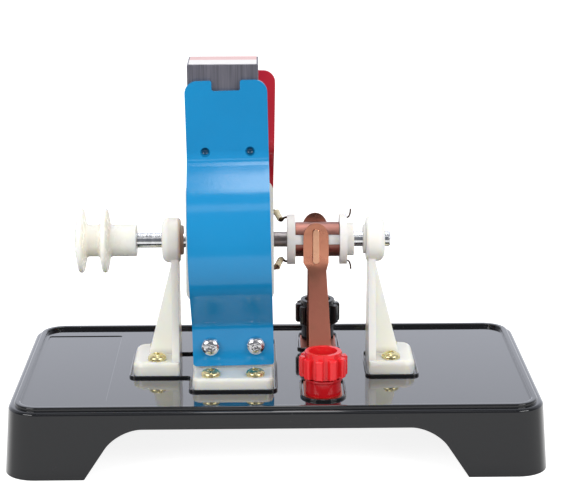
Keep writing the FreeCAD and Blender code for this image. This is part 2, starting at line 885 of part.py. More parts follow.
def postCollar():
    """Fixed insulating collar of the front terminal, with a lip at its top."""
    low = baseHeight + brushThickness
    profile = [
        (low, studRadius),
        (low, collarPostRadius),
        (collarPostTop - collarLipHeight, collarPostRadius),
        (collarPostTop - collarLipHeight, collarPostRadius + collarLip),
        (collarPostTop, collarPostRadius + collarLip),
        (collarPostTop, studRadius),
    ]
    return lathe(profile, Vector(postX, -postY, 0), alongZ)


def postStud():
    """Brass stud of the front terminal, with its plug socket."""
    profile = [
        (studBottom, 0),
        (studBottom, studRadius),
        (studTop, studRadius),
        (studTop, socketRadius),
        (studTop - socketDepth, socketRadius),
        (studTop - socketDepth, 0),
    ]
    return lathe(profile, Vector(postX, -postY, 0), alongZ)


def knob():
    """Ribbed screw knob of the front terminal."""
    bore = insertRadius + runningClearance
    profile = [
        (knobBottom, bore),
        (knobBottom, knobRadius),
        (knobTop - knobEdge, knobRadius),
        (knobTop, knobRadius - knobEdge),
        (knobTop, knobCupRadius),
        (knobCupFloor, knobCupRadius),
        (knobCupFloor, bore),
    ]
    body = lathe(profile, Vector(postX, -postY, 0), alongZ)

    def outerEdge(edge):
        return edge.BoundBox.XMin > knobRadius and edge.BoundBox.ZLength > 1
    ribs = []
    for index in range(knobRibCount):
        rib = block(knobRadius - knobEdge, knobRibRadius, -knobRibWidth / 2, knobRibWidth / 2,
                    knobRibBottom, knobRibTop)
        rib = chamferWhere(rib, knobRibEdge, outerEdge)
        rib.rotate(Vector(0, 0, 0), alongZ, knobRibTurn + index * 360 / knobRibCount)
        ribs.append(rib.translated(Vector(postX, -postY, 0)))
    return body.fuse(ribs).removeSplitter()


def knobInsert():
    """Threaded brass bush inside the knob, which runs on the stud."""
    bore = studRadius + runningClearance
    profile = [
        (knobBottom, bore),
        (knobBottom, insertRadius),
        (knobCupFloor, insertRadius),
        (knobCupFloor, bore),
    ]
    return lathe(profile, Vector(postX, -postY, 0), alongZ)


def postNut(y):
    """Hexagon nut under the panel."""
    top = baseHeight - baseWall - washerThickness
    points = [Vector(postX, y, top - nutHeight) + turned(nutCorner, 60 * index) for index in range(7)]
    nut = Part.Face(Part.makePolygon(points)).extrude(Vector(0, 0, nutHeight))
    return boredThrough(nut, studRadius, Vector(postX, y, 0), Vector(postX, y, top))


def postWasher(y):
    top = Vector(postX, y, baseHeight - baseWall)
    bottom = top - alongZ * washerThickness
    return boredThrough(rod(washerRadius, bottom, top), studRadius, bottom, top)


def saveBase():
    save("base_tray", baseTray())
    bracket = bearingBracket()
    bush = bearingBush()
    for name, face, side in (("left", leftBracketFace, -1), ("right", rightBracketFace, 1)):
        save(name + "_bearing_bracket", placedBracketPiece(bracket, face, side))
        save(name + "_bearing_bush", placedBracketPiece(bush, face, side))
    top = baseHeight + footHeight
    screw = panScrew(top - bossBottom - 1)
    bracketScrews = [screw.translated(Vector(x, y, top)) for x, y in bracketScrewPlaces()]
    save("bracket_screws", Part.makeCompound(bracketScrews))
    standScrews = [screw.translated(Vector(x, y, top)) for x, y in standScrewPlaces()]
    save("stand_screws", Part.makeCompound(standScrews))


def saveMagnet():
    save("magnet_stand", magnetStand())
    plate = polePlate()
    rearPlate = toRear(plate)
    save("front_pole_plate", leaned(plate, frontPlateLean, 0))
    save("rear_pole_plate", leaned(rearPlate, rearPlateLean, rearPlateShift))
    screws = []
    for side, lean, shift in plateSides:
        for place in plateScrewPlaces(side, lean, shift):
            screw = panScrew(plateScrewLength)
            screw.rotate(Vector(0, 0, 0), alongX, -90 * side)
            screws.append(screw.translated(place))
    save("pole_plate_screws", Part.makeCompound(screws))
    save("magnet_block", magnetBlock())
    save("magnet_label", magnetLabel())


def saveRotor():
    rear = bobbin()
    winding = coil()
    segment = segmentBlank(barrelLeft + segmentPlay, barrelRight - segmentPlay)
    pieces = [
        ("shaft", shaft()),
        ("pulley", pulley()),
        ("armature_core", armatureCore()),
        ("rear_bobbin", rear),
        ("front_bobbin", toRear(rear)),
        ("rear_coil", winding),
        ("front_coil", toRear(winding)),
        ("commutator_former", commutatorFormer()),
        ("upper_segment", segment),
        ("lower_segment", halfTurn(segment)),
    ]
    for name, piece in (("lead", upperLead()), ("lead_sleeve", upperSleeve()), ("segment_wire", upperTail())):
        pieces.append(("upper_" + name, piece))
        pieces.append(("lower_" + name, halfTurn(piece)))
    for name, piece in pieces:
        piece.rotate(Vector(0, 0, axisHeight), alongX, rotorTurn)
        save(name, piece)


def saveTerminals():
    brush = frontBrush()
    save("front_brush", brush)
    save("rear_brush", toRear(brush))
    pieces = (("post_collar", postCollar()), ("post_stud", postStud()),
              ("knob", knob()), ("knob_insert", knobInsert()))
    for name, piece in pieces:
        save("red_" + name, piece)
        save("black_" + name, piece.translated(Vector(0, 2 * postY, 0)))
    save("post_nuts", Part.makeCompound([postNut(-postY), postNut(postY)]))
    save("post_washers", Part.makeCompound([postWasher(-postY), postWasher(postY)]))


os.makedirs("parts", exist_ok=True)
saveBase()
saveMagnet()
saveRotor()
saveTerminals()
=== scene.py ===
import bpy
import math
from mathutils import Matrix, Vector


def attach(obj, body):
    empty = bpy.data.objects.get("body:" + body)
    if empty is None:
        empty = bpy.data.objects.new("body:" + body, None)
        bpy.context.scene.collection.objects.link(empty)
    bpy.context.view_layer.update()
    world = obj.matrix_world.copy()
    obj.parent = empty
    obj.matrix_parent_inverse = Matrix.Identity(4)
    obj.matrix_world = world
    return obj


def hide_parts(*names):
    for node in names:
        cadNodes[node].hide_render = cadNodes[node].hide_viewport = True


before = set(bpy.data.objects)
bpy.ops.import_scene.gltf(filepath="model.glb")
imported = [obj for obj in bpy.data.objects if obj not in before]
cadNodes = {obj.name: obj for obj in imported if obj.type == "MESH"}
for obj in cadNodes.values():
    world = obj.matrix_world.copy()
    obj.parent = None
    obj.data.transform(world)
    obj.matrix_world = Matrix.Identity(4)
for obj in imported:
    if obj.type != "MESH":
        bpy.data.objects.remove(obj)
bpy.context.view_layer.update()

# Demonstration motor: every size below is in millimetres, mm turns it into metres.
mm = 0.001
shaftHeight = 79.2       # height of the shaft's middle
panelHeight = 26.3       # top of the base panel
rotorTurn = -11.5        # how far the rotor stands turned, in degrees
plateX = -16.7           # middle of the pole plates and their stand
touch = 0.01             # points this close count as being in one place


# ---- small tools for modelling by hand ----

def deselectAll():
    if bpy.context.mode != "OBJECT":
        bpy.ops.object.mode_set(mode="OBJECT")
    bpy.ops.object.select_all(action="DESELECT")


def onlyThis(piece):
    deselectAll()
    piece.select_set(True)
    bpy.context.view_layer.objects.active = piece


def applyPlace():
    bpy.ops.object.transform_apply(location=True, rotation=True, scale=True)


def toObjectMode():
    bpy.ops.object.mode_set(mode="OBJECT")


def discard(*pieces):
    for piece in pieces:
        bpy.data.objects.remove(piece)


def takeNew(name):
    piece = bpy.context.active_object          # the primitive that was just added
    piece.name = name
    piece.data.name = name
    applyPlace()
    return piece


def addBlock(name, low, high):
    deselectAll()
    low, high = Vector(low) * mm, Vector(high) * mm
    bpy.ops.mesh.primitive_cube_add(size=1, location=(low + high) / 2, scale=high - low)
    return takeNew(name)


def addPanel(name, middle, size, turn=(0, 0, 0)):
    deselectAll()
    degrees = [math.radians(part) for part in turn]
    bpy.ops.mesh.primitive_plane_add(size=1, location=Vector(middle) * mm, rotation=degrees)
    bpy.context.active_object.scale = (size[0] * mm, size[1] * mm, 1)
    return takeNew(name)


def startPicking(piece, kind):
    onlyThis(piece)
    bpy.ops.object.mode_set(mode="EDIT")
    bpy.ops.mesh.select_mode(type=kind)
    bpy.ops.mesh.select_all(action="DESELECT")
    toObjectMode()


def pickFaces(piece, wanted):
    startPicking(piece, "FACE")                # wanted(middle in mm, normal)
    for face in piece.data.polygons:
        face.select = wanted(face.center / mm, face.normal)
    bpy.ops.object.mode_set(mode="EDIT")


def pickEdges(piece, wanted):
    startPicking(piece, "EDGE")                # wanted(one end in mm, other end in mm)
    points = piece.data.vertices
    for edge in piece.data.edges:
        start, end = edge.vertices
        edge.select = wanted(points[start].co / mm, points[end].co / mm)
    bpy.ops.object.mode_set(mode="EDIT")


def pickPoints(piece, wanted):
    startPicking(piece, "VERT")                # wanted(point in mm)
    for point in piece.data.vertices:
        point.select = wanted(point.co / mm)
    bpy.ops.object.mode_set(mode="EDIT")


def pickFacing(piece, upDown):
    # the faces that look up (1) or down (-1)
    pickFaces(piece, lambda middle, normal: normal.z * upDown > 0.9)


def pickTopEdges(piece, height):
    pickEdges(piece, lambda start, end: min(start.z, end.z) > height - touch)


def pickUprightEdges(piece):
    pickEdges(piece, lambda start, end: abs(start.z - end.z) > touch)


def pickAll(piece, kind="FACE"):
    onlyThis(piece)
    bpy.ops.object.mode_set(mode="EDIT")
    bpy.ops.mesh.select_mode(type=kind)
    bpy.ops.mesh.select_all(action="SELECT")


def pushOut(x=0.0, y=0.0, z=0.0):
    bpy.ops.mesh.extrude_region_move(TRANSFORM_OT_translate={"value": (x * mm, y * mm, z * mm)})


def widen(x, y, z, about):
    bpy.ops.transform.resize(value=(x, y, z), center_override=Vector(about) * mm)


def bendRound(centre, degrees, steps):
    # carries what is picked round a line along X; spin counts its angle the other way
    bpy.ops.mesh.spin(steps=steps, angle=-math.radians(degrees), center=Vector(centre) * mm, axis=(1, 0, 0))


def roundOff(radius, steps, kind="EDGES"):
    bpy.ops.mesh.bevel(offset=radius * mm, segments=steps, affect=kind, clamp_overlap=False)


def closeUp(piece):
    pickAll(piece)                             # merge what meets, and turn the faces outwards
    bpy.ops.mesh.remove_doubles(threshold=0.0005 * mm)
    bpy.ops.mesh.normals_make_consistent(inside=False)
    toObjectMode()


def useModifier(piece, kind, **settings):
    onlyThis(piece)
    modifier = piece.modifiers.new(kind.title(), kind)
    for name, value in settings.items():
        setattr(modifier, name, value)
    bpy.ops.object.modifier_apply(modifier=modifier.name)


def cutWith(piece, tool):
    useModifier(piece, "BOOLEAN", operation="DIFFERENCE", solver="EXACT", object=tool)
    discard(tool)


def weldOn(piece, part):
    useModifier(piece, "BOOLEAN", operation="UNION", solver="EXACT", object=part)
    discard(part)


def joinTo(piece, parts):
    onlyThis(piece)
    for part in parts:
        part.select_set(True)
    bpy.ops.object.join()
    return piece


def smooth(piece, angle=38):
    onlyThis(piece)
    bpy.ops.object.shade_smooth_by_angle(angle=math.radians(angle))
    useModifier(piece, "WEIGHTED_NORMAL", keep_sharp=True, weight=60)


def softEdges(piece, width, steps=2, angle=32):
    useModifier(piece, "BEVEL", width=width * mm, segments=steps, limit_method="ANGLE",
                angle_limit=math.radians(angle), use_clamp_overlap=True)
    smooth(piece)


def copyOf(piece, name):
    onlyThis(piece)
    bpy.ops.object.duplicate()                 # the copy gets a mesh of its own
    return takeNew(name)


def placeCopy(piece, name, move=(0, 0, 0), turn=(0, 0, 0)):
    copy = copyOf(piece, name)
    copy.rotation_euler = [math.radians(part) for part in turn]
    copy.location = Vector(move) * mm
    applyPlace()
    return copy


def mirrorCopy(piece, name, x=1, y=1):
    copy = copyOf(piece, name)
    pickAll(copy)
    widen(x, y, 1, (0, 0, 0))
    bpy.ops.mesh.normals_make_consistent(inside=False)
    toObjectMode()
    return copy


def turnOnShaft(piece, degrees):
    onlyThis(piece)
    there = Matrix.Translation((0, 0, shaftHeight * mm))
    piece.matrix_world = there @ Matrix.Rotation(math.radians(degrees), 4, "X") @ there.inverted()
    applyPlace()
    return piece


def leanPiece(piece, degrees, shift):
    # leans a piece sideways about the middle of the pole plate's screws
    onlyThis(piece)
    there = Matrix.Translation(Vector((plateX, 0, plateScrews["height"])) * mm)
    turn = there @ Matrix.Rotation(math.radians(degrees), 4, "Y") @ there.inverted()
    piece.matrix_world = Matrix.Translation((shift * mm, 0, 0)) @ turn @ piece.matrix_world
    applyPlace()
    return piece


def roundCorner(along, radius, bend, first, last, steps=5):
    # stations of a turned piece on an arc; the angles are in degrees, 0 points along the axis
    stations = []
    for step in range(steps + 1):
        angle = math.radians(first + (last - first) * step / steps)
        stations.append((along + bend * math.cos(angle), radius + bend * math.sin(angle)))
    return stations


def turnPiece(name, stations, axis="x", middle=(0, 0, shaftHeight), sides=64, capped=False):
    # carries a ring from station to station (along the axis, radius), as on a lathe
    along = Vector((1, 0, 0)) if axis == "x" else Vector((0, 0, 1))
    lean = (0, math.pi / 2, 0) if axis == "x" else (0, 0, 0)
    middle = Vector(middle)
    place, radius = stations[0]
    deselectAll()
    bpy.ops.mesh.primitive_circle_add(vertices=sides, radius=radius * mm, rotation=lean,
                                      location=(middle + along * place) * mm)
    piece = takeNew(name)
    pickAll(piece, "EDGE")
    rest = stations[1:] if capped else stations[1:] + stations[:1]
    for nextPlace, nextRadius in rest:
        pushOut(*(along * (nextPlace - place)))
        growth = nextRadius / radius
        widen(growth, growth, growth, middle + along * nextPlace)
        place, radius = nextPlace, nextRadius
    if capped:
        bpy.ops.mesh.select_all(action="SELECT")
        bpy.ops.mesh.fill_holes(sides=0)
    closeUp(piece)
    return piece


def bentRod(name, points, radius, steps=8):
    # round wire along a smooth line through the points
    deselectAll()
    bpy.ops.curve.primitive_bezier_curve_add()
    wire = bpy.context.active_object
    wire.name = name
    line = wire.data.splines[0]
    line.bezier_points.add(len(points) - 2)
    for knot, point in zip(line.bezier_points, points):
        knot.co = Vector(point) * mm
        knot.handle_left_type = "AUTO"
        knot.handle_right_type = "AUTO"
    wire.data.dimensions = "3D"
    wire.data.bevel_depth = radius * mm
    wire.data.bevel_resolution = 3
    wire.data.resolution_u = steps
    wire.data.use_fill_caps = True
    bpy.ops.object.convert(target="MESH")
    wire = takeNew(name)
    closeUp(wire)
    smooth(wire, 60)
    return wire


# ---- finishes ----

def startFinish(name, colour, roughness, metal=0.0, **sockets):
    finish = bpy.data.materials.new(name)
    finish.use_nodes = True
    tree = finish.node_tree
    shader = tree.nodes["Principled BSDF"]
    shader.inputs["Base Color"].default_value = (*colour, 1)
    shader.inputs["Roughness"].default_value = roughness
    shader.inputs["Metallic"].default_value = metal
    for socket, value in sockets.items():
        shader.inputs[socket.replace("_", " ")].default_value = value
    place = tree.nodes.new("ShaderNodeTexCoord").outputs["Object"]
    return finish, tree, shader, place


def stretchTo(tree, place, size):
    mapping = tree.nodes.new("ShaderNodeMapping")
    mapping.inputs["Scale"].default_value = size
    tree.links.new(place, mapping.inputs["Vector"])
    return mapping.outputs["Vector"]


def feed(tree, shader, socket, value):
    tree.links.new(value, shader.inputs[socket])


def grain(tree, place, scale, detail=2.0, roughness=0.5):
    noise = tree.nodes.new("ShaderNodeTexNoise")
    noise.inputs["Scale"].default_value = scale
    noise.inputs["Detail"].default_value = detail
    noise.inputs["Roughness"].default_value = roughness
    tree.links.new(place, noise.inputs["Vector"])
    return noise.outputs["Fac"]


def spread(tree, value, fromLow, fromHigh, toLow, toHigh):
    node = tree.nodes.new("ShaderNodeMapRange")
    for name, number in (("From Min", fromLow), ("From Max", fromHigh), ("To Min", toLow), ("To Max", toHigh)):
        node.inputs[name].default_value = number
    tree.links.new(value, node.inputs["Value"])
    return node.outputs["Result"]


def fade(tree, value, start, end, low=0, high=1):
    # a level that changes between two places given in millimetres
    return spread(tree, value, start * mm, end * mm, low, high)


def mottle(tree, place, scale, detail, low, high):
    return spread(tree, grain(tree, place, scale, detail), 0.3, 0.7, low, high)


def sums(tree, kind, first, second):
    node = tree.nodes.new("ShaderNodeMath")
    node.operation = kind
    for socket, value in zip(node.inputs, (first, second)):
        if isinstance(value, (int, float)):
            socket.default_value = value
        else:
            tree.links.new(value, socket)
    return node.outputs["Value"]


def partOf(tree, place, letter):
    node = tree.nodes.new("ShaderNodeSeparateXYZ")
    tree.links.new(place, node.inputs["Vector"])
    return node.outputs[letter]


def rayKinds(tree):
    # all rays, and how far a ray comes from a mirror or through glass
    path = tree.nodes.new("ShaderNodeLightPath")
    return path, sums(tree, "MAXIMUM", path.outputs["Is Glossy Ray"], path.outputs["Is Transmission Ray"])


def twoColours(tree, factor, first, second):
    node = tree.nodes.new("ShaderNodeMix")
    node.data_type = "RGBA"
    tree.links.new(factor, node.inputs["Factor"])
    for socket, value in ((node.inputs["A"], first), (node.inputs["B"], second)):
        if isinstance(value, tuple):
            socket.default_value = (*value, 1)
        else:
            tree.links.new(value, socket)
    return node.outputs["Result"]


def roughen(tree, shader, height, strength, depth):
    bump = tree.nodes.new("ShaderNodeBump")
    bump.inputs["Strength"].default_value = strength
    bump.inputs["Distance"].default_value = depth * mm
    tree.links.new(height, bump.inputs["Height"])
    if shader.inputs["Normal"].is_linked:
        tree.links.new(shader.inputs["Normal"].links[0].from_socket, bump.inputs["Normal"])
    tree.links.new(bump.outputs["Normal"], shader.inputs["Normal"])


blackLook = {"colour": (0.010, 0.0105, 0.012), "dust": (0.30, 0.30, 0.31), "shine": (0.05, 0.10),
             "sheen": 1.0, "coat": 1.8}


def glossyBlack():
    look = blackLook
    finish, tree, shader, place = startFinish("glossyBlack", look["colour"], 0.1)
    haze = grain(tree, place, 45, 4)
    feed(tree, shader, "Roughness", spread(tree, haze, 0.3, 0.7, *look["shine"]))
    specks = spread(tree, grain(tree, place, 900, 1), 0.77, 0.80, 0, 0.5)
    patches = spread(tree, grain(tree, place, 60, 2), 0.52, 0.64, 0, 1)
    dusty = sums(tree, "MULTIPLY", specks, patches)
    feed(tree, shader, "Base Color", twoColours(tree, dusty, look["colour"], look["dust"]))
    facing = tree.nodes.new("ShaderNodeLayerWeight").outputs["Facing"]
    feed(tree, shader, "Coat Weight", spread(tree, facing, 0.45, 0.75, 0, look["sheen"]))
    shader.inputs["Coat Roughness"].default_value = 0.05
    shader.inputs["Coat IOR"].default_value = look["coat"]
    roughen(tree, shader, grain(tree, place, 30, 1), 0.05, 0.2)
    return finish


# the gussets' lighter colour is painted light, the feet's darker colour is painted shade
nylonLook = {"pale": (0.86, 0.85, 0.81), "warm": (0.83, 0.82, 0.765), "thin": (0.96, 0.94, 0.86),
             "paintedFootShade": (0.74, 0.735, 0.69), "footShadeTop": 32.6, "gussetHalf": 1.6,
             "gussetLow": 31.0, "gussetHigh": 72.0, "depth": 4.0}


def ivoryNylon():
    # painted light makes the thin gussets lighter, as if lit through from behind, and painted shade makes the thick
    # feet darker
    look = nylonLook
    finish, tree, shader, place = startFinish(
        "ivoryNylon", look["pale"], 0.32, Subsurface_Weight=0.8, Subsurface_Scale=look["depth"] * mm,
        Subsurface_Radius=(1.0, 0.8, 0.5))
    clouds = mottle(tree, place, 55, 3, 0, 1)
    colour = twoColours(tree, clouds, look["pale"], look["warm"])
    # painted light: the gussets' colour made lighter
    side = sums(tree, "ABSOLUTE", partOf(tree, place, "Y"), 0)
    narrow = fade(tree, side, look["gussetHalf"], look["gussetHalf"] + 0.4, 1, 0)
    height = partOf(tree, place, "Z")
    above = fade(tree, height, look["gussetLow"], look["gussetLow"] + 3)
    below = fade(tree, height, look["gussetHigh"] - 6, look["gussetHigh"], 1, 0)
    thin = sums(tree, "MULTIPLY", narrow, sums(tree, "MULTIPLY", above, below))
    colour = twoColours(tree, thin, colour, look["thin"])
    # painted shade: the feet's colour made darker up to their tops
    low = fade(tree, height, look["footShadeTop"], look["footShadeTop"] + 2, 1, 0)
    colour = twoColours(tree, low, colour, look["paintedFootShade"])
    feed(tree, shader, "Base Color", colour)
    feed(tree, shader, "Roughness", mottle(tree, place, 300, 2, 0.18, 0.25))
    roughen(tree, shader, grain(tree, place, 700, 2), 0.08, 0.05)
    return finish


def plainNylon(name, pale, warm, roughness=0.34, depth=2.5, weight=0.35, skin=0.08):
    finish, tree, shader, place = startFinish(
        name, pale, roughness, Subsurface_Weight=weight, Subsurface_Scale=depth * mm,
        Subsurface_Radius=(1.0, 0.8, 0.5))
    clouds = mottle(tree, place, 90, 3, 0, 1)
    feed(tree, shader, "Base Color", twoColours(tree, clouds, pale, warm))
    shine = mottle(tree, place, 400, 2, roughness - 0.06, roughness + 0.06)
    feed(tree, shader, "Roughness", shine)
    roughen(tree, shader, grain(tree, place, 800, 2), skin, 0.04)
    return finish


# shared by the paint, the sheets and their screws
plateScrews = {"height": 40.6, "spread": 8.95, "face": 19.0}
plateLeans = {"front": (-1, -1.07, 0.0), "rear": (1, 1.05, -0.45)}   # side, degrees and shift along the stand
dimpleShape = {"height": 117.5, "spread": 8.75, "pit": 1.90, "bump": 2.2, "rise": 1.0}
# painted shade in the dimple pits: how far it reaches from a pit's middle and how dark it gets
pitShadeLook = {"shadeEnd": 1.75, "dark": 1.25, "shade": 0.30}


def enamel(name, colour, deep, plate):
    # sprayed gloss paint with a faint orange peel, and painted shade darkening the dimple pits
    finish, tree, shader, place = startFinish(name, colour, 0.10)
    clouds = spread(tree, grain(tree, place, 35, 3), 0.35, 0.65, 0, 1)
    paint = twoColours(tree, clouds, colour, deep)
    side, lean, shift = plateLeans[plate]
    rise = dimpleShape["height"] - plateScrews["height"]
    middle = plateX + shift + rise * math.sin(math.radians(lean))
    across = sums(tree, "ABSOLUTE", sums(tree, "SUBTRACT", partOf(tree, place, "X"), middle * mm), 0)
    across = sums(tree, "SUBTRACT", across, dimpleShape["spread"] * mm)
    upward = sums(tree, "SUBTRACT", partOf(tree, place, "Z"), dimpleShape["height"] * mm)
    away = sums(tree, "ADD", sums(tree, "POWER", sums(tree, "ABSOLUTE", across, 0), 2.0),
                sums(tree, "POWER", sums(tree, "ABSOLUTE", upward, 0), 2.0))
    away = sums(tree, "SQRT", away, 0)
    pit = fade(tree, away, pitShadeLook["dark"], pitShadeLook["shadeEnd"], 1, 0)
    # painted shade: the deep colour darkened inside each pit
    paintedPitShade = tuple(part * pitShadeLook["shade"] for part in deep)
    feed(tree, shader, "Base Color", twoColours(tree, pit, paint, paintedPitShade))
    feed(tree, shader, "Roughness", mottle(tree, place, 500, 2, 0.10, 0.17))
    roughen(tree, shader, grain(tree, place, 700, 1), 0.30, 0.06)
    roughen(tree, shader, grain(tree, place, 90, 1), 0.08, 0.3)
    return finish


magnetLook = {"light": (0.280, 0.272, 0.322), "dark": (0.150, 0.147, 0.176), "lineScale": 1500}


def groundMagnet():
    look = magnetLook
    finish, tree, shader, place = startFinish("groundMagnet", look["light"], 0.42, 0.75)
    lines = grain(tree, stretchTo(tree, place, (1, 1, 0.02)), look["lineScale"], 3, 0.6)
    colour = twoColours(tree, spread(tree, lines, 0.35, 0.65, 0, 1), look["dark"], look["light"])
    feed(tree, shader, "Base Color", colour)
    feed(tree, shader, "Roughness", spread(tree, lines, 0.3, 0.7, 0.50, 0.34))
    roughen(tree, shader, lines, 0.25, 0.04)
    return finish


labelLook = {"white": (0.76, 0.75, 0.75), "pink": (0.68, 0.42, 0.42), "edgeY": 1.0}


def labelPaper():
    # white sheet with a plain pink band along its rear half
    look = labelLook
    finish, tree, shader, place = startFinish("labelPaper", look["white"], 0.5)
    fibres = grain(tree, place, 1500, 3)
    band = fade(tree, partOf(tree, place, "Y"), look["edgeY"] - 0.3, look["edgeY"])
    mottled = sums(tree, "MULTIPLY", band, spread(tree, fibres, 0.3, 0.7, 0.8, 1.0))
    feed(tree, shader, "Base Color", twoColours(tree, mottled, look["white"], look["pink"]))
    roughen(tree, shader, fibres, 0.10, 0.03)
    return finish


def brightMetal(name, light, dark, roughness, along=(1, 1, 1), scale=600, bump=0.08):
    # worked metal: fine marks stretched along one direction
    finish, tree, shader, place = startFinish(name, light, roughness, 1.0)
    marks = grain(tree, stretchTo(tree, place, along), scale, 3, 0.55)
    feed(tree, shader, "Base Color", twoColours(tree, spread(tree, marks, 0.3, 0.7, 0, 1), dark, light))
    feed(tree, shader, "Roughness", spread(tree, marks, 0.3, 0.7, roughness * 0.7, roughness * 1.4))
    roughen(tree, shader, marks, bump, 0.03)
    return finish


# the dark stretch along the armature is painted shade
shaftLook = {"bright": (0.92, 0.93, 0.94), "mark": (0.72, 0.73, 0.75), "paintedShaftShade": (0.30, 0.27, 0.27),
             "darkStretchRoughness": 0.42, "darkStretchFrom": -34.0, "darkStretchTo": 5.5, "fade": 2.0}


def groundShaft():
    # bright round bar, with painted shade making it darker and duller where it passes the armature
    look = shaftLook
    finish, tree, shader, place = startFinish("groundShaft", look["bright"], 0.16, 1.0)
    marks = grain(tree, stretchTo(tree, place, (1, 0.08, 0.08)), 900, 3, 0.55)
    metal = twoColours(tree, spread(tree, marks, 0.3, 0.7, 0, 1), look["mark"], look["bright"])
    along = partOf(tree, place, "X")
    after = fade(tree, along, look["darkStretchFrom"] - look["fade"], look["darkStretchFrom"])
    before = fade(tree, along, look["darkStretchTo"], look["darkStretchTo"] + look["fade"], 1, 0)
    stains = mottle(tree, place, 320, 4, 0.88, 1)
    # painted shade by the armature, mottled a little
    paintedShaftShade = sums(tree, "MULTIPLY", sums(tree, "MULTIPLY", after, before), stains)
    feed(tree, shader, "Base Color", twoColours(tree, paintedShaftShade, metal, look["paintedShaftShade"]))
    shine = spread(tree, marks, 0.3, 0.7, 0.12, 0.22)
    dull = sums(tree, "MULTIPLY", paintedShaftShade, look["darkStretchRoughness"])
    feed(tree, shader, "Roughness", sums(tree, "MAXIMUM", shine, dull))
    roughen(tree, shader, marks, 0.08, 0.03)
    return finish


brushLook = {"bright": (0.74, 0.31, 0.195), "brown": (0.62, 0.225, 0.155), "fadeLow": 60.0, "fadeHigh": 74.0,
             "rib": (0.93, 0.50, 0.32), "innerFaceBrown": (0.42, 0.29, 0.24), "padLow": 69.0, "padBack": 7.0, "padFace": 7.5}


def brushCopper():
    # the pad is burnished, the leaf below it has browned
    look = brushLook
    finish, tree, shader, place = startFinish("brushCopper", look["bright"], 0.25, 1.0)
    height = partOf(tree, place, "Z")
    worn = fade(tree, height, look["fadeLow"], look["fadeHigh"])
    stains = spread(tree, grain(tree, place, 140, 4, 0.6), 0.35, 0.68, -0.25, 0.25)
    factor = sums(tree, "ADD", worn, stains)
    colour = twoColours(tree, factor, look["brown"], look["bright"])
    depth = sums(tree, "ABSOLUTE", partOf(tree, place, "Y"), 0)
    onPad = fade(tree, height, look["padLow"], look["padLow"] + 1)
    raised = fade(tree, depth, look["padFace"] + 0.15, look["padFace"] + 0.4)
    colour = twoColours(tree, sums(tree, "MULTIPLY", onPad, raised), colour, look["rib"])
    # darker brown on the pad's inner face
    inside = fade(tree, depth, look["padBack"] + 0.05, look["padBack"] + 0.2, 1, 0)
    colour = twoColours(tree, sums(tree, "MULTIPLY", onPad, inside), colour, look["innerFaceBrown"])
    feed(tree, shader, "Base Color", colour)
    feed(tree, shader, "Roughness", spread(tree, factor, 0, 1, 0.42, 0.24))
    roughen(tree, shader, grain(tree, place, 160, 2), 0.45, 0.14)
    roughen(tree, shader, grain(tree, stretchTo(tree, place, (1, 1, 0.08)), 900, 2), 0.12, 0.03)
    return finish


def gloss(name, colour, deep, roughness=0.16):
    # moulded plastic with a fine skin
    finish, tree, shader, place = startFinish(name, colour, roughness)
    clouds = mottle(tree, place, 120, 3, 0, 1)
    feed(tree, shader, "Base Color", twoColours(tree, clouds, colour, deep))
    shine = mottle(tree, place, 350, 2, roughness * 0.8, roughness * 1.3)
    feed(tree, shader, "Roughness", shine)
    roughen(tree, shader, grain(tree, place, 500, 2), 0.06, 0.04)
    return finish


def windingCopper():
    # varnished wire, each turn a shade of its own
    finish, tree, shader, place = startFinish("windingCopper", (0.55, 0.20, 0.08), 0.28, 0.85)
    shades = grain(tree, stretchTo(tree, place, (0.03, 1, 0.03)), 1400, 1)
    colour = twoColours(tree, spread(tree, shades, 0.3, 0.7, 0, 1), (0.36, 0.11, 0.045), (0.66, 0.27, 0.12))
    feed(tree, shader, "Base Color", colour)
    roughen(tree, shader, grain(tree, place, 300, 2), 0.1, 0.05)
    return finish


coreLook = {"light": (0.30, 0.29, 0.28), "dark": (0.10, 0.085, 0.075), "sheet": 0.5}


def coreSheets():
    # stacked steel sheets: a dark joint every sheet's thickness along the shaft
    look = coreLook
    finish, tree, shader, place = startFinish("coreSheets", look["light"], 0.45, 0.8)
    stack = sums(tree, "DIVIDE", partOf(tree, place, "X"), look["sheet"] * mm)
    joint = sums(tree, "PINGPONG", stack, 0.5)
    line = spread(tree, joint, 0.0, 0.16, 0, 1)
    rust = spread(tree, grain(tree, place, 160, 4), 0.4, 0.75, 1, 0.45)
    factor = sums(tree, "MULTIPLY", line, rust)
    feed(tree, shader, "Base Color", twoColours(tree, factor, look["dark"], look["light"]))
    roughen(tree, shader, line, 0.5, 0.08)
    return finish


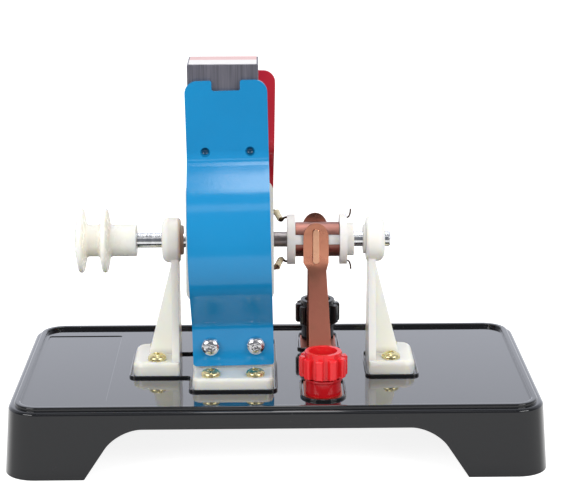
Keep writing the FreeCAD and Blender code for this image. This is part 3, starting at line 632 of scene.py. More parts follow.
finishes = {
    "black": glossyBlack(),
    "nylon": ivoryNylon(),
    "pulley": plainNylon("pulleyNylon", (0.94, 0.92, 0.86), (0.91, 0.88, 0.79), 0.26, 4.0, 0.6, 0.01),
    "former": plainNylon("formerNylon", (0.81, 0.795, 0.775), (0.75, 0.725, 0.69), 0.32, 2.0, 0.4),
    "bobbin": plainNylon("bobbinNylon", (0.80, 0.79, 0.76), (0.76, 0.74, 0.69)),
    "whiteBush": plainNylon("whiteBush", (0.74, 0.73, 0.69), (0.66, 0.64, 0.59)),
    # painted shade: the left bush is the same nylon as the right one, painted darker brown
    "shadedBushNylon": plainNylon("shadedBushNylon", (0.58, 0.49, 0.42), (0.44, 0.35, 0.28), 0.45, 1.0, 0.1),
    "sleeve": plainNylon("creamSleeve", (0.74, 0.68, 0.50), (0.62, 0.54, 0.36), 0.5, 1.0, 0.2),
    "blue": enamel("blueEnamel", (0.009, 0.242, 0.520), (0.009, 0.226, 0.490), "front"),
    "red": enamel("redEnamel", (0.620, 0.024, 0.046), (0.560, 0.020, 0.038), "rear"),
    "magnet": groundMagnet(),
    "label": labelPaper(),
    "shaft": groundShaft(),
    "zinc": brightMetal("brightZinc", (0.94, 0.94, 0.95), (0.76, 0.76, 0.78), 0.20, (1, 1, 1), 500, 0.15),
    "yellowZinc": brightMetal("yellowZinc", (0.90, 0.81, 0.46), (0.70, 0.60, 0.30), 0.27, (1, 1, 1), 350, 0.15),
    "segment": brightMetal("segmentCopper", (0.43, 0.205, 0.165), (0.26, 0.110, 0.085), 0.38, (0.3, 1, 1), 420, 0.4),
    "brush": brushCopper(),
    "wire": brightMetal("darkWire", (0.13, 0.075, 0.06), (0.05, 0.03, 0.025), 0.4, (1, 1, 1), 500),
    "brass": brightMetal("turnedBrass", (0.80, 0.62, 0.32), (0.62, 0.45, 0.20), 0.22, (0.3, 0.3, 1), 900),
    "redKnob": gloss("redPlastic", (0.80, 0.022, 0.028), (0.74, 0.016, 0.020)),
    # painted shade: the collar gets a darker copy of the knob's red plastic
    "redCollar": gloss("redPlasticShadedCopy", (0.50, 0.009, 0.014), (0.45, 0.007, 0.011)),
    "blackCollar": gloss("blackCollarPlastic", (0.011, 0.011, 0.012), (0.016, 0.016, 0.017)),
    "blackKnob": gloss("blackPlastic", (0.012, 0.012, 0.013), (0.018, 0.018, 0.019)),
    "winding": windingCopper(),
    "core": coreSheets(),
}
print("finishes ready:", len(finishes))


def dress(piece, finish, body, slot, *standsFor):
    piece.data.materials.clear()
    piece.data.materials.append(finishes[finish])
    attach(piece, body)
    if standsFor:
        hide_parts(*standsFor)


def redress(node, finish):
    cadNode = cadNodes[node]                   # its shape stays, only its finish changes
    cadNode.data.materials.clear()
    cadNode.data.materials.append(finishes[finish])


# ---- base tray ----

trayShape = {"length": 205.0, "width": 114.0, "draft": 1.8, "corner": 12.0, "cornerSteps": 12,
             "wall": 2.5, "ceiling": 23.8, "topEdge": 1.2, "rimInset": 2.2, "rimWidth": 2.4,
             "rimHeight": 1.4, "rimEdge": 0.6, "softEdge": 0.3}
archShape = {"height": 19.6, "halfFoot": 73.2, "halfTop": 60.1, "radius": 17.0, "below": 5.0,
             "reach": 90.0, "steps": 14}
recessShape = {"x": -81.0, "halfLength": 15.5, "halfWidth": 43.0, "depth": 0.3, "corner": 1.0}
bossShape = {"radius": 3.8, "bottom": 13.0, "bore": 1.5, "edge": 0.3, "sink": 0.5}
bracketScrews = [(-47.5, -8.7), (-47.5, 8.7), (46.5, -8.7), (46.5, 8.7)]
standScrews = [(-25.4, -27.5), (-25.4, 27.5), (-8.0, -27.5), (-8.0, 27.5)]
postPlaces = [(18.3, -37.0), (18.3, 37.0)]


def insideEdge(point):
    # how far a point of the panel lies inside the tray's outline
    shape = trayShape
    overX = abs(point.x) - (shape["length"] / 2 - shape["corner"])
    overY = abs(point.y) - (shape["width"] / 2 - shape["corner"])
    if overX > 0 and overY > 0:
        return shape["corner"] - math.hypot(overX, overY)
    return shape["corner"] - max(overX, overY)


def roundedSlab(name, middle, half, corner, low, high, steps=6):
    slab = addBlock(name, (middle[0] - half[0], middle[1] - half[1], low),
                    (middle[0] + half[0], middle[1] + half[1], high))
    pickUprightEdges(slab)
    roundOff(corner, steps)
    toObjectMode()
    return slab


def archTool():
    shape = archShape
    slope = (shape["halfFoot"] - shape["halfTop"]) / shape["height"]
    bottomHalf = shape["halfFoot"] + slope * shape["below"]
    cornerCut = shape["radius"] * math.tan(math.atan2(1, slope) / 2)
    tool = addBlock("archTool", (-shape["halfTop"], -shape["reach"], -shape["below"]),
                    (shape["halfTop"], shape["reach"], shape["height"]))
    pickFacing(tool, -1)
    widen(bottomHalf / shape["halfTop"], 1, 1, (0, 0, 0))
    pickEdges(tool, lambda start, end: min(start.z, end.z) > 0 and abs(start.y - end.y) > 1)
    roundOff(cornerCut, shape["steps"])
    toObjectMode()
    return tool


def makeTray():
    shape = trayShape
    halfX, halfY = shape["length"] / 2, shape["width"] / 2
    tray = addBlock("base_shell", (-halfX, -halfY, 0), (halfX, halfY, panelHeight))
    pickUprightEdges(tray)
    roundOff(shape["corner"], shape["cornerSteps"])

    pickFacing(tray, -1)                       # wider at the table
    widen(1 + shape["draft"] / halfX, 1 + shape["draft"] / halfY, 1, (0, 0, 0))
    bpy.ops.mesh.inset(thickness=shape["wall"] * mm)
    pushOut(z=shape["ceiling"])
    lowHalf = halfX + shape["draft"] - shape["wall"]
    widen((halfX - shape["wall"]) / lowHalf, 1, 1, (0, 0, 0))

    pickTopEdges(tray, panelHeight)
    roundOff(shape["topEdge"], 4)
    pickFaces(tray, lambda middle, normal: normal.z > 0.99 and middle.z > panelHeight - touch)
    bpy.ops.mesh.inset(thickness=(shape["rimInset"] - shape["topEdge"]) * mm)
    bpy.ops.mesh.inset(thickness=shape["rimWidth"] * mm)
    near, far = shape["rimInset"], shape["rimInset"] + shape["rimWidth"]
    pickFaces(tray, lambda middle, normal: normal.z > 0.99 and middle.z > panelHeight - touch
              and near + 0.2 < insideEdge(middle) < far - 0.2)
    pushOut(z=shape["rimHeight"])
    rimTop = panelHeight + shape["rimHeight"]
    pickEdges(tray, lambda start, end: min(start.z, end.z) > rimTop - touch
              and abs(insideEdge(start) - insideEdge(end)) < 0.3)
    roundOff(shape["rimEdge"], 3)
    closeUp(tray)

    cutWith(tray, archTool())
    low = panelHeight - recessShape["depth"]
    cutWith(tray, roundedSlab("recessTool", (recessShape["x"], 0),
                              (recessShape["halfLength"], recessShape["halfWidth"]),
                              recessShape["corner"], low, panelHeight + 5))
    softEdges(tray, shape["softEdge"])
    return tray


def makeBoss(place):
    # hollow post under the panel that takes a screw
    shape = bossShape
    boss = turnPiece("boss", [
        (shape["bottom"], shape["bore"]),
        (shape["bottom"], shape["radius"] - shape["edge"]),
        (shape["bottom"] + shape["edge"], shape["radius"]),
        (trayShape["ceiling"] + shape["sink"], shape["radius"]),
        (trayShape["ceiling"] + shape["sink"], shape["bore"]),
    ], "z", (*place, 0), 32)
    smooth(boss)
    return boss


tray = makeTray()
joinTo(tray, [makeBoss(place) for place in bracketScrews + standScrews])
dress(tray, "black", "base", "base_black", "base_tray")
print("base tray made")


# ---- ribs round the feet ----

standShape = {"halfX": 15.9, "halfY": 32.5, "corner": 3.5, "footHeight": 5.0, "footEdge": 1.4,
              "uprightHalf": 17.5, "uprightTop": 43.0, "uprightEdge": 0.8, "soft": 0.35}
ribShape = {"height": 1.0, "width": 0.9, "corner": 2.0, "gap": 0.6, "sink": 0.3, "soft": 0.40,
            "leftFrom": -57.0, "rightFrom": 37.4, "rightTo": 56.0, "footHalf": 14.8,
            "terminalHalf": 8.05, "terminalNear": 21.0, "terminalFar": 45.6,
            "nearCorner": 1.4, "farCorner": 7.2}


def raiseRib(outline):
    # turns a flat outline into a thin upright wall round it
    pickAll(outline)
    bpy.ops.mesh.delete(type="ONLY_FACE")
    pickAll(outline, "EDGE")
    pushOut(z=ribShape["height"] + ribShape["sink"])
    bpy.ops.mesh.select_all(action="SELECT")
    bpy.ops.mesh.normals_make_consistent(inside=False)
    useModifier(outline, "SOLIDIFY", thickness=ribShape["width"] * mm, offset=1, use_even_offset=True)
    softEdges(outline, ribShape["soft"], 3, 50)
    return outline


def plainOutline(name, x, y, halfX, halfY, near, far):
    low = panelHeight - ribShape["sink"]
    outline = addPanel(name, (x, y, low), (2 * halfX, 2 * halfY))
    for radius, wanted in ((near, lambda point: abs(point.y) < abs(y)), (far, lambda point: abs(point.y) > abs(y))):
        pickPoints(outline, wanted)
        roundOff(radius, 7, "VERTICES")
    return outline


def makeRibs():
    shape = ribShape
    low = panelHeight - shape["sink"]
    halfX, halfY = standShape["halfX"] + shape["gap"], standShape["halfY"] + shape["gap"]
    footHalf = shape["footHalf"] + shape["gap"]
    joined = addPanel("foot_ribs", (plateX, 0, low), (2 * halfX, 2 * halfY))
    for side in (-1, 1):
        pickAll(joined)
        bpy.ops.mesh.bisect(plane_co=(0, side * footHalf * mm, 0), plane_no=(0, 1, 0))
    pickEdges(joined, lambda start, end: max(start.x, end.x) < plateX - 1
              and max(abs(start.y), abs(end.y)) < footHalf + touch)
    pushOut(x=shape["leftFrom"] - shape["gap"] - (plateX - halfX))
    pickAll(joined)
    bpy.ops.mesh.dissolve_limited(angle_limit=math.radians(1))       # keeps the real corners
    pickPoints(joined, lambda point: point.x < plateX or abs(point.y) > footHalf + 1)
    roundOff(shape["corner"], 6, "VERTICES")

    middle = (shape["rightFrom"] + shape["rightTo"]) / 2
    footX = (shape["rightTo"] - shape["rightFrom"]) / 2 + shape["gap"]
    right = addPanel("rightRib", (middle, 0, low), (2 * footX, 2 * footHalf))
    pickPoints(right, lambda point: True)
    roundOff(shape["corner"], 6, "VERTICES")

    outlines = [right]
    terminalMiddle = (shape["terminalNear"] + shape["terminalFar"]) / 2
    terminalHalfY = (shape["terminalFar"] - shape["terminalNear"]) / 2
    for side in (-1, 1):
        outlines.append(plainOutline("terminalRib", postPlaces[0][0], side * terminalMiddle,
                                     shape["terminalHalf"], terminalHalfY, shape["nearCorner"], shape["farCorner"]))
    ribs = [raiseRib(outline) for outline in outlines]
    return joinTo(raiseRib(joined), ribs)


dress(makeRibs(), "black", "base", "base_black", "base_tray")
print("foot ribs made")


# ---- bearing brackets and bushes ----

bracketShape = {"footLength": 18.6, "footHalf": 14.2, "footHeight": 5.75, "outerCorner": 4.5, "innerCorner": 0.8,
                "footEdge": 2.2, "web": 2.9, "webLow": 28.3, "webFoot": 14.1, "webWaist": 9.2,
                "waistHeight": 49.0, "webTop": 5.9, "gusset": 3.0, "gussetFoot": 13.0, "gussetTop": 2.0,
                "top": 74.0, "steps": 16, "soft": 0.35}
ringShape = {"radius": 9.0, "rounding": 2.9, "innerEdge": 1.4, "inner": -0.9, "outer": 6.5, "bore": 4.4}
bushShape = {"flange": 5.9, "flangeThickness": 1.1, "bore": 3.05, "edge": 0.25, "play": 0.02}
bracketFaces = {"left": -38.4, "right": 37.4}


def webHalf(height):
    # half width of the upright at a height: a smooth curve through foot, waist and top
    shape = bracketShape
    low, waist, top = shape["webLow"], shape["waistHeight"], shape["top"]
    fromLow, fromWaist, fromTop = height - low, height - waist, height - top
    return (shape["webFoot"] * fromWaist * fromTop / ((low - waist) * (low - top))
            + shape["webWaist"] * fromLow * fromTop / ((waist - low) * (waist - top))
            + shape["webTop"] * fromLow * fromWaist / ((top - low) * (top - waist)))


def bracketFoot(top):
    shape = bracketShape
    length, half = shape["footLength"], shape["footHalf"]
    foot = addBlock("bracket", (0, -half, panelHeight), (length, half, top))
    for radius, wanted in ((shape["outerCorner"], lambda x: x > 1), (shape["innerCorner"], lambda x: x < 1)):
        pickEdges(foot, lambda start, end: abs(start.z - end.z) > 1 and wanted(start.x))
        roundOff(radius, 6)
    pickEdges(foot, lambda start, end: min(start.z, end.z) > top - touch and max(start.x, end.x) > 0.9)
    roundOff(shape["footEdge"], 5)
    toObjectMode()
    return foot


def makeBracket():
    # the right bracket, with its inner face at x 0
    shape = bracketShape
    footTop, low = panelHeight + shape["footHeight"], shape["webLow"]
    bracket = bracketFoot(footTop)
    web = addBlock("web", (0, -shape["webFoot"], low - 1), (shape["web"], shape["webFoot"], low))
    pickFacing(web, 1)
    rise = (shape["top"] - low) / shape["steps"]
    half = shape["webFoot"]
    for step in range(1, shape["steps"] + 1):
        height = low + rise * step
        pushOut(z=rise)
        widen(1, webHalf(height) / half, 1, (0, 0, height))
        half = webHalf(height)
    toObjectMode()

    gusset = addBlock("gusset", (0.5, -shape["gusset"] / 2, footTop - 1),
                      (shape["gussetFoot"], shape["gusset"] / 2, shape["top"]))
    pickFacing(gusset, 1)
    widen((shape["gussetTop"] - 0.5) / (shape["gussetFoot"] - 0.5), 1, 1, (0.5, 0, shape["top"]))
    toObjectMode()

    ring = ringShape
    edge, bend = ring["innerEdge"], ring["rounding"]
    stations = [(ring["inner"], ring["bore"])]
    stations += roundCorner(ring["inner"] + edge, ring["radius"] - edge, edge, 180, 90, 4)
    stations += roundCorner(ring["outer"] - bend, ring["radius"] - bend, bend, 90, 0, 8)
    stations += [(ring["outer"], ring["bore"])]
    ringPiece = turnPiece("ring", stations, sides=72)
    bore = turnPiece("boreTool", [(-5, ring["bore"]), (12, ring["bore"])], sides=72, capped=True)
    weldOn(bracket, web)
    weldOn(bracket, gusset)
    cutWith(bracket, bore)
    weldOn(bracket, ringPiece)
    return bracket


def makeBush():
    ring, shape = ringShape, bushShape
    edge = shape["edge"]
    start = ring["inner"] - shape["flangeThickness"]
    seat, barrel = ring["inner"] - shape["play"], ring["bore"] - shape["play"]
    return turnPiece("bush", [
        (start, shape["bore"] + edge), (start, shape["flange"] - edge), (start + edge, shape["flange"]),
        (seat, shape["flange"]), (seat, barrel), (ring["outer"] - edge, barrel), (ring["outer"], barrel - edge),
        (ring["outer"], shape["bore"] + edge), (ring["outer"] - edge, shape["bore"]), (start + edge, shape["bore"]),
    ], sides=64)


plainBracket = makeBracket()
plainBush = makeBush()
# the left bush's darker finish is painted shade
bearings = {"left": (-1, "shadedBushNylon", "bush_brown"), "right": (1, "whiteBush", "bush_white")}
for side, (sign, bushFinish, bushSlot) in bearings.items():
    for plain, part, finish, slot in ((plainBracket, "bracket", "nylon", "bracket_ivory"),
                                      (plainBush, "bush", bushFinish, bushSlot)):
        name = side + "_bearing_" + part
        turned = mirrorCopy(plain, "turned", x=sign)
        piece = placeCopy(turned, name + "_body", (bracketFaces[side], 0, 0))
        discard(turned)
        if part == "bracket":
            softEdges(piece, bracketShape["soft"])
        else:
            smooth(piece)
        dress(piece, finish, "base", slot, name)
discard(plainBracket, plainBush)
print("brackets and bushes made")


# ---- pan head screws ----

screwShape = {"head": 3.72, "height": 2.45, "side": 0.55, "flat": 0.9, "shank": 1.4, "crossHalf": 2.15,
              "crossWidth": 0.95, "crossDepth": 1.7, "domeSteps": 7, "domeEnd": 80,
              "footLength": 16.0, "plateLength": 10.5}


def makeScrew(length):
    # stands on the XY plane at the origin, head up
    shape = screwShape
    stations = [(-length, shape["shank"] - 0.5), (-length + 0.8, shape["shank"]), (0, shape["shank"]),
                (0, shape["head"] - 0.15), (0.15, shape["head"]), (shape["side"], shape["head"])]
    rise = shape["height"] - shape["side"]
    for step in range(1, shape["domeSteps"] + 1):
        angle = math.radians(shape["domeEnd"] * step / shape["domeSteps"])
        radius = shape["flat"] + (shape["head"] - shape["flat"]) * math.cos(angle)
        stations.append((shape["side"] + rise * math.sin(angle) / math.sin(math.radians(shape["domeEnd"])), radius))
    screw = turnPiece("screw", stations, "z", (0, 0, 0), 48, capped=True)
    half, width = shape["crossHalf"], shape["crossWidth"] / 2
    for turn in (0, 90):
        wing = addBlock("wing", (-half, -width, shape["height"] - shape["crossDepth"]),
                        (half, width, shape["height"] + 1))
        pickFacing(wing, -1)
        widen(0.35, 0.6, 1, (0, 0, 0))
        toObjectMode()
        cutWith(screw, placeCopy(wing, "turnedWing", turn=(0, 0, turn)))
        discard(wing)
    softEdges(screw, 0.10, 2, 40)
    return screw


footScrew = makeScrew(screwShape["footLength"])
plateScrew = makeScrew(screwShape["plateLength"])
footTurns = [18, 64, 40, 75, 10, 52, 33, 81]
for number, (place, turn) in enumerate(zip(bracketScrews + standScrews, footTurns)):
    owner, foot = ("bracket", bracketShape) if number < len(bracketScrews) else ("stand", standShape)
    screw = placeCopy(footScrew, owner + "_screw_" + str(number + 1),
                      (*place, panelHeight + foot["footHeight"]), (0, 0, turn))
    dress(screw, "yellowZinc", "base", "screw_yellow", owner + "_screws")

number = 0
for side, lean, shift in plateLeans.values():
    for apart in (-plateScrews["spread"], plateScrews["spread"]):
        turned = placeCopy(plateScrew, "turned", turn=(0, 0, 28 + 31 * number))
        screw = placeCopy(turned, "upright", (0, 0, 0), (-90 * side, 0, 0))
        discard(turned)
        tilt = math.radians(lean)
        number += 1
        placed = placeCopy(screw, "plate_screw_" + str(number),
                           (plateX + shift + apart * math.cos(tilt), side * plateScrews["face"],
                            plateScrews["height"] - apart * math.sin(tilt)))
        discard(screw)
        dress(placed, "zinc", "base", "screw_zinc", "pole_plate_screws")
discard(footScrew, plateScrew)
print("screws made")


# ---- magnet stand ----

def makeStand():
    shape = standShape
    top = panelHeight + shape["footHeight"]
    stand = roundedSlab("magnet_stand_body", (plateX, 0), (shape["halfX"], shape["halfY"]),
                        shape["corner"], panelHeight, top)
    pickTopEdges(stand, top)
    roundOff(shape["footEdge"], 4)
    upright = addBlock("upright", (plateX - shape["halfX"], -shape["uprightHalf"], panelHeight + 1),
                       (plateX + shape["halfX"], shape["uprightHalf"], shape["uprightTop"]))
    pickEdges(upright, lambda start, end: min(start.z, end.z) > top + 1)
    roundOff(shape["uprightEdge"], 3)
    weldOn(stand, upright)
    softEdges(stand, shape["soft"])
    return stand


dress(makeStand(), "nylon", "base", "bracket_ivory", "magnet_stand")
print("magnet stand made")


# ---- pole plates ----

plateShape = {"width": 32.0, "thickness": 1.5, "top": 145.4, "bottom": 32.5, "corner": 4.8,
              "notchCorner": 0.8, "footCorner": 1.2, "notchWidth": 11.0, "notchDepth": 4.0,
              "upperFlat": 11.0, "lowerFlat": 17.5, "soft": 0.32,
              "reach": 36.0, "bellyHeight": 81.0, "upperBend": 7.0, "lowerBend": 6.0,
              "upperRounds": ((35.0, 42.0), (8.0, 56.0)), "lowerRounds": ((28.0, 37.0),)}
rearExtra = 0.5          # the rear sheet stands a little higher


def sheetHalf(side, part):
    # bends from the belly to one flat end, the straight run between them and the last bend
    shape = plateShape
    rounds, bend, flat = shape[part + "Rounds"], shape[part + "Bend"], shape[part + "Flat"]

    def outward(degrees):
        angle = math.radians(degrees)
        return Vector((0, -math.cos(angle), side * math.sin(angle)))
    point = Vector((0, -shape["reach"], shape["bellyHeight"]))
    turned, bends = 0.0, []
    for radius, last in rounds:
        centre = point - outward(turned) * radius
        bends.append((centre, last - turned))
        point, turned = centre + outward(last) * radius, last
    slope = math.radians(turned)
    ahead = -(flat + shape["thickness"]) - bend * (1 - math.cos(slope)) - point.y
    run = Vector((0, ahead, side * ahead / math.tan(slope)))
    return bends, run, point + run + outward(turned) * bend, turned


def makePlate():
    # front plate: flat on the magnet, round the armature, flat on the stand
    shape = plateShape
    half, notchHalf, top = shape["width"] / 2, shape["notchWidth"] / 2, shape["top"]
    faceY = -(shape["upperFlat"] + shape["thickness"])
    upperBends, upperRun, upperCentre, upperSlope = sheetHalf(1, "upper")
    lowerBends, lowerRun, lowerCentre, lowerSlope = sheetHalf(-1, "lower")
    flatLow, notchFloor = upperCentre.z, top - shape["notchDepth"]

    plate = addPanel("plate", (plateX, faceY, (flatLow + top) / 2), (shape["width"], top - flatLow), (90, 0, 0))
    for side in (-1, 1):
        pickAll(plate)
        bpy.ops.mesh.bisect(plane_co=((plateX + side * notchHalf) * mm, 0, 0), plane_no=(1, 0, 0))
    pickAll(plate)
    bpy.ops.mesh.bisect(plane_co=(0, 0, notchFloor * mm), plane_no=(0, 0, 1))
    pickFaces(plate, lambda middle, normal: abs(middle.x - plateX) < 1 and middle.z > notchFloor)
    bpy.ops.mesh.delete(type="FACE")
    pickAll(plate)
    bpy.ops.mesh.dissolve_limited(angle_limit=math.radians(1))
    pickPoints(plate, lambda point: point.z > top - touch and abs(point.x - plateX) > half - touch)
    roundOff(shape["corner"], 9, "VERTICES")
    pickPoints(plate, lambda point: point.z > notchFloor - touch and abs(abs(point.x - plateX) - notchHalf) < touch)
    roundOff(shape["notchCorner"], 4, "VERTICES")

    pickEdges(plate, lambda start, end: max(start.z, end.z) < flatLow + touch)
    bendRound(upperCentre, -upperSlope, 14)
    pushOut(y=-upperRun.y, z=-upperRun.z)
    for centre, degrees in upperBends[::-1] + lowerBends:
        bendRound(centre, degrees, max(8, round(degrees / 2)))
    pushOut(y=lowerRun.y, z=lowerRun.z)
    bendRound(lowerCentre, -lowerSlope, 12)
    pushOut(z=shape["bottom"] - lowerCentre.z)
    pickPoints(plate, lambda point: point.z < shape["bottom"] + touch and abs(point.x - plateX) > half - touch)
    roundOff(shape["footCorner"], 4, "VERTICES")
    pickAll(plate)
    bpy.ops.mesh.remove_doubles(threshold=0.01 * mm)
    useModifier(plate, "SOLIDIFY", thickness=shape["thickness"] * mm, offset=-1, use_even_offset=True)

    dimple = dimpleShape
    for x in (plateX - dimple["spread"], plateX + dimple["spread"]):
        back = turnPiece("bump", [(-1, dimple["bump"]), (0, dimple["bump"])]
                         + roundCorner(0, dimple["bump"] - dimple["rise"], dimple["rise"], 90, 10, 5),
                         "z", (0, 0, 0), 32, capped=True)
        weldOn(plate, placeCopy(back, "turnedBump", (x, -shape["upperFlat"], dimple["height"]), (-90, 0, 0)))
        deselectAll()
        bpy.ops.mesh.primitive_uv_sphere_add(segments=32, ring_count=16, radius=dimple["pit"] * mm,
                                             location=(x * mm, (faceY - 0.1) * mm, dimple["height"] * mm))
        cutWith(plate, takeNew("pitTool"))
        discard(back)
    return plate


plainPlate = makePlate()
for name, finish, slot in (("front", "blue", "plate_blue"), ("rear", "red", "plate_red")):
    side, lean, shift = plateLeans[name]
    sheet = mirrorCopy(plainPlate, name + "_plate_sheet", y=-side)
    if name == "rear":
        pickPoints(sheet, lambda point: point.z > plateShape["top"] - plateShape["notchDepth"] - touch)
        bpy.ops.transform.translate(value=(0, 0, rearExtra * mm))
        toObjectMode()
    leanPiece(sheet, lean, shift)
    softEdges(sheet, plateShape["soft"], 3, 50)
    dress(sheet, finish, "base", slot, name + "_pole_plate")
discard(plainPlate)
print("pole plates made")


# ---- magnet and its label ----

magnetShape = {"x": -19.8, "length": 27.5, "thickness": 22.0, "bottom": 119.3, "top": 151.4, "edge": 0.35,
               "labelInset": 0.6, "labelThickness": 0.15, "labelCorner": 0.8}


def makeMagnet():
    shape = magnetShape
    half, deep = shape["length"] / 2, shape["thickness"] / 2
    magnet = addBlock("magnet_bar", (shape["x"] - half, -deep, shape["bottom"]),
                      (shape["x"] + half, deep, shape["top"]))
    pickEdges(magnet, lambda start, end: True)
    roundOff(shape["edge"], 2)
    toObjectMode()
    smooth(magnet)
    return magnet


def makeLabel():
    shape = magnetShape
    half = shape["length"] / 2 - shape["labelInset"]
    deep = shape["thickness"] / 2 - shape["labelInset"]
    label = roundedSlab("magnet_top_label", (shape["x"], 0), (half, deep), shape["labelCorner"],
                        shape["top"], shape["top"] + shape["labelThickness"])
    softEdges(label, 0.05, 2, 50)
    return label


dress(makeMagnet(), "magnet", "base", "magnet_grey", "magnet_block")
dress(makeLabel(), "label", "base", "label_white", "magnet_label")
print("magnet and label made")


# ---- bobbins and windings ----

armatureX = -17.6
bobbinShape = {"halfX": 17.2, "halfZ": 23.2, "inner": 3.6, "outer": 17.6, "wall": 1.2, "corner": 3.5,
               "neckHalfX": 7.8, "neckHalfZ": 15.6, "soft": 0.3}
windingShape = {"halfX": 16.3, "halfZ": 22.2, "corner": 8.5, "turns": 18, "groove": 0.32, "cornerSteps": 8}


def uprightSlab(name, halfX, halfZ, corner, y0, y1, steps=6):
    slab = addPanel(name, (armatureX, y0, shaftHeight), (2 * halfX, 2 * halfZ), (90, 0, 0))
    pickPoints(slab, lambda point: True)
    roundOff(corner, steps, "VERTICES")
    pickAll(slab)
    pushOut(y=y1 - y0)
    closeUp(slab)
    return slab


def makeBobbin():
    shape = bobbinShape
    inner, outer, wall = shape["inner"], shape["outer"], shape["wall"]
    bobbin = uprightSlab("bobbin", shape["neckHalfX"] + wall, shape["neckHalfZ"] + wall, wall, inner, outer)
    for start in (inner, outer - wall):
        weldOn(bobbin, uprightSlab("cheek", shape["halfX"], shape["halfZ"], shape["corner"], start, start + wall))
    neck = addBlock("neckTool", (armatureX - shape["neckHalfX"], 0, shaftHeight - shape["neckHalfZ"]),
                    (armatureX + shape["neckHalfX"], 30, shaftHeight + shape["neckHalfZ"]))
    cutWith(bobbin, neck)
    return bobbin


def makeWinding():
    # turns of wire side by side between the cheeks
    shape = windingShape
    start = bobbinShape["inner"] + bobbinShape["wall"]
    length = bobbinShape["outer"] - bobbinShape["wall"] - start
    winding = addPanel("winding", (armatureX, start, shaftHeight), (2 * shape["halfX"], 2 * shape["halfZ"]), (90, 0, 0))
    pickPoints(winding, lambda point: True)
    roundOff(shape["corner"], shape["cornerSteps"], "VERTICES")
    pickAll(winding)
    small = 1 - shape["groove"] / shape["halfX"]
    pitch = length / shape["turns"]
    middle = Vector((armatureX, start, shaftHeight))
    widen(small, 1, small, middle)
    for turn in range(shape["turns"]):
        for advance, growth in ((0.2, 1 / small), (0.6, 1), (0.2, small)):
            pushOut(y=pitch * advance)
            middle.y += pitch * advance
            widen(growth, 1, growth, middle)
    closeUp(winding)
    barrel = bobbinShape["neckHalfX"] + bobbinShape["wall"], bobbinShape["neckHalfZ"] + bobbinShape["wall"]
    cutWith(winding, addBlock("barrelTool", (armatureX - barrel[0], 0, shaftHeight - barrel[1]),
                              (armatureX + barrel[0], 30, shaftHeight + barrel[1])))
    return winding


plainBobbin = makeBobbin()
plainWinding = makeWinding()
for side, sign in (("rear", 1), ("front", -1)):
    bobbin = mirrorCopy(plainBobbin, side + "_bobbin_body", y=sign)
    turnOnShaft(bobbin, rotorTurn)
    softEdges(bobbin, bobbinShape["soft"])
    dress(bobbin, "bobbin", "rotor", "bobbin_white", side + "_bobbin")
    winding = mirrorCopy(plainWinding, side + "_winding", y=sign)
    turnOnShaft(winding, rotorTurn)
    smooth(winding, 75)
    dress(winding, "winding", "rotor", "coil_copper", side + "_coil")
discard(plainBobbin, plainWinding)
print("bobbins and windings made")


# ---- commutator ----

formerShape = {"left": 5.0, "barrelLeft": 8.2, "barrelRight": 25.9, "right": 28.8, "hubRight": 31.6,
               "collar": 10.0, "hub": 6.6, "barrel": 6.6, "bore": 3.0, "soft": 0.3}
segmentShape = {"inner": 5.4, "outer": 6.9, "gapHalf": 17.0, "play": 0.1, "steps": 36, "soft": 0.14}


def makeSegment(name, play, outer):
    # section of the half ring, carried round the shaft
    left, right = formerShape["barrelLeft"] + play, formerShape["barrelRight"] - play
    inner = segmentShape["inner"]
    segment = addPanel(name, ((left + right) / 2, (inner + outer) / 2, shaftHeight), (right - left, outer - inner))
    pickAll(segment)
    sweep = 180 - 2 * segmentShape["gapHalf"]
    bendRound((0, 0, shaftHeight), sweep, segmentShape["steps"])
    closeUp(segment)
    return turnOnShaft(segment, segmentShape["gapHalf"])


def makeFormer():
    shape = formerShape
    former = turnPiece("commutator_body", [
        (shape["left"], shape["bore"]), (shape["left"], shape["collar"]), (shape["barrelLeft"], shape["collar"]),
        (shape["barrelLeft"], shape["barrel"]), (shape["barrelRight"], shape["barrel"]),
        (shape["barrelRight"], shape["collar"]), (shape["right"], shape["collar"]), (shape["right"], shape["hub"]),
        (shape["hubRight"], shape["hub"]), (shape["hubRight"], shape["bore"]),
    ], sides=72)
    seat = makeSegment("seatTool", 0.02, 8.0)
    cutWith(former, placeCopy(seat, "upperSeat"))
    cutWith(former, turnOnShaft(seat, 180))
    softEdges(former, shape["soft"], 3)
    return former


former = turnOnShaft(makeFormer(), rotorTurn)
dress(former, "former", "rotor", "former_white", "commutator_former")
for name, turn in (("upper_segment", 0), ("lower_segment", 180)):
    segment = makeSegment(name + "_shell", segmentShape["play"], segmentShape["outer"])
    turnOnShaft(segment, turn + rotorTurn)
    softEdges(segment, segmentShape["soft"], 2)
    dress(segment, "segment", "rotor", "segment_copper", name)
print("commutator made")


# ---- leads, sleeves and wire ends ----

# each wire's line runs through knots: x, y and height over the shaft's middle
leadShape = {"radius": 0.45, "line": ((-1.7, 6.0, 11.3), (0.5, 6.0, 11.3), (2.75, 0.6, 7.4), (4.1, 0.0, 8.7),
                                      (6.2, 0.0, 8.7))}
tailShape = {"radius": 0.35, "line": ((27.0, 0.0, 8.7), (29.5, 0.0, 8.8), (30.2, 0.0, 10.0), (30.5, 0.0, 12.1))}
sleeveShape = {"radius": 1.2, "wall": 0.5, "length": 5.0, "flare": 0.2, "flareLength": 1.5, "edge": 0.2}


def wireLine(shape):
    return [(x, y, shaftHeight + rise) for x, y, rise in shape["line"]]


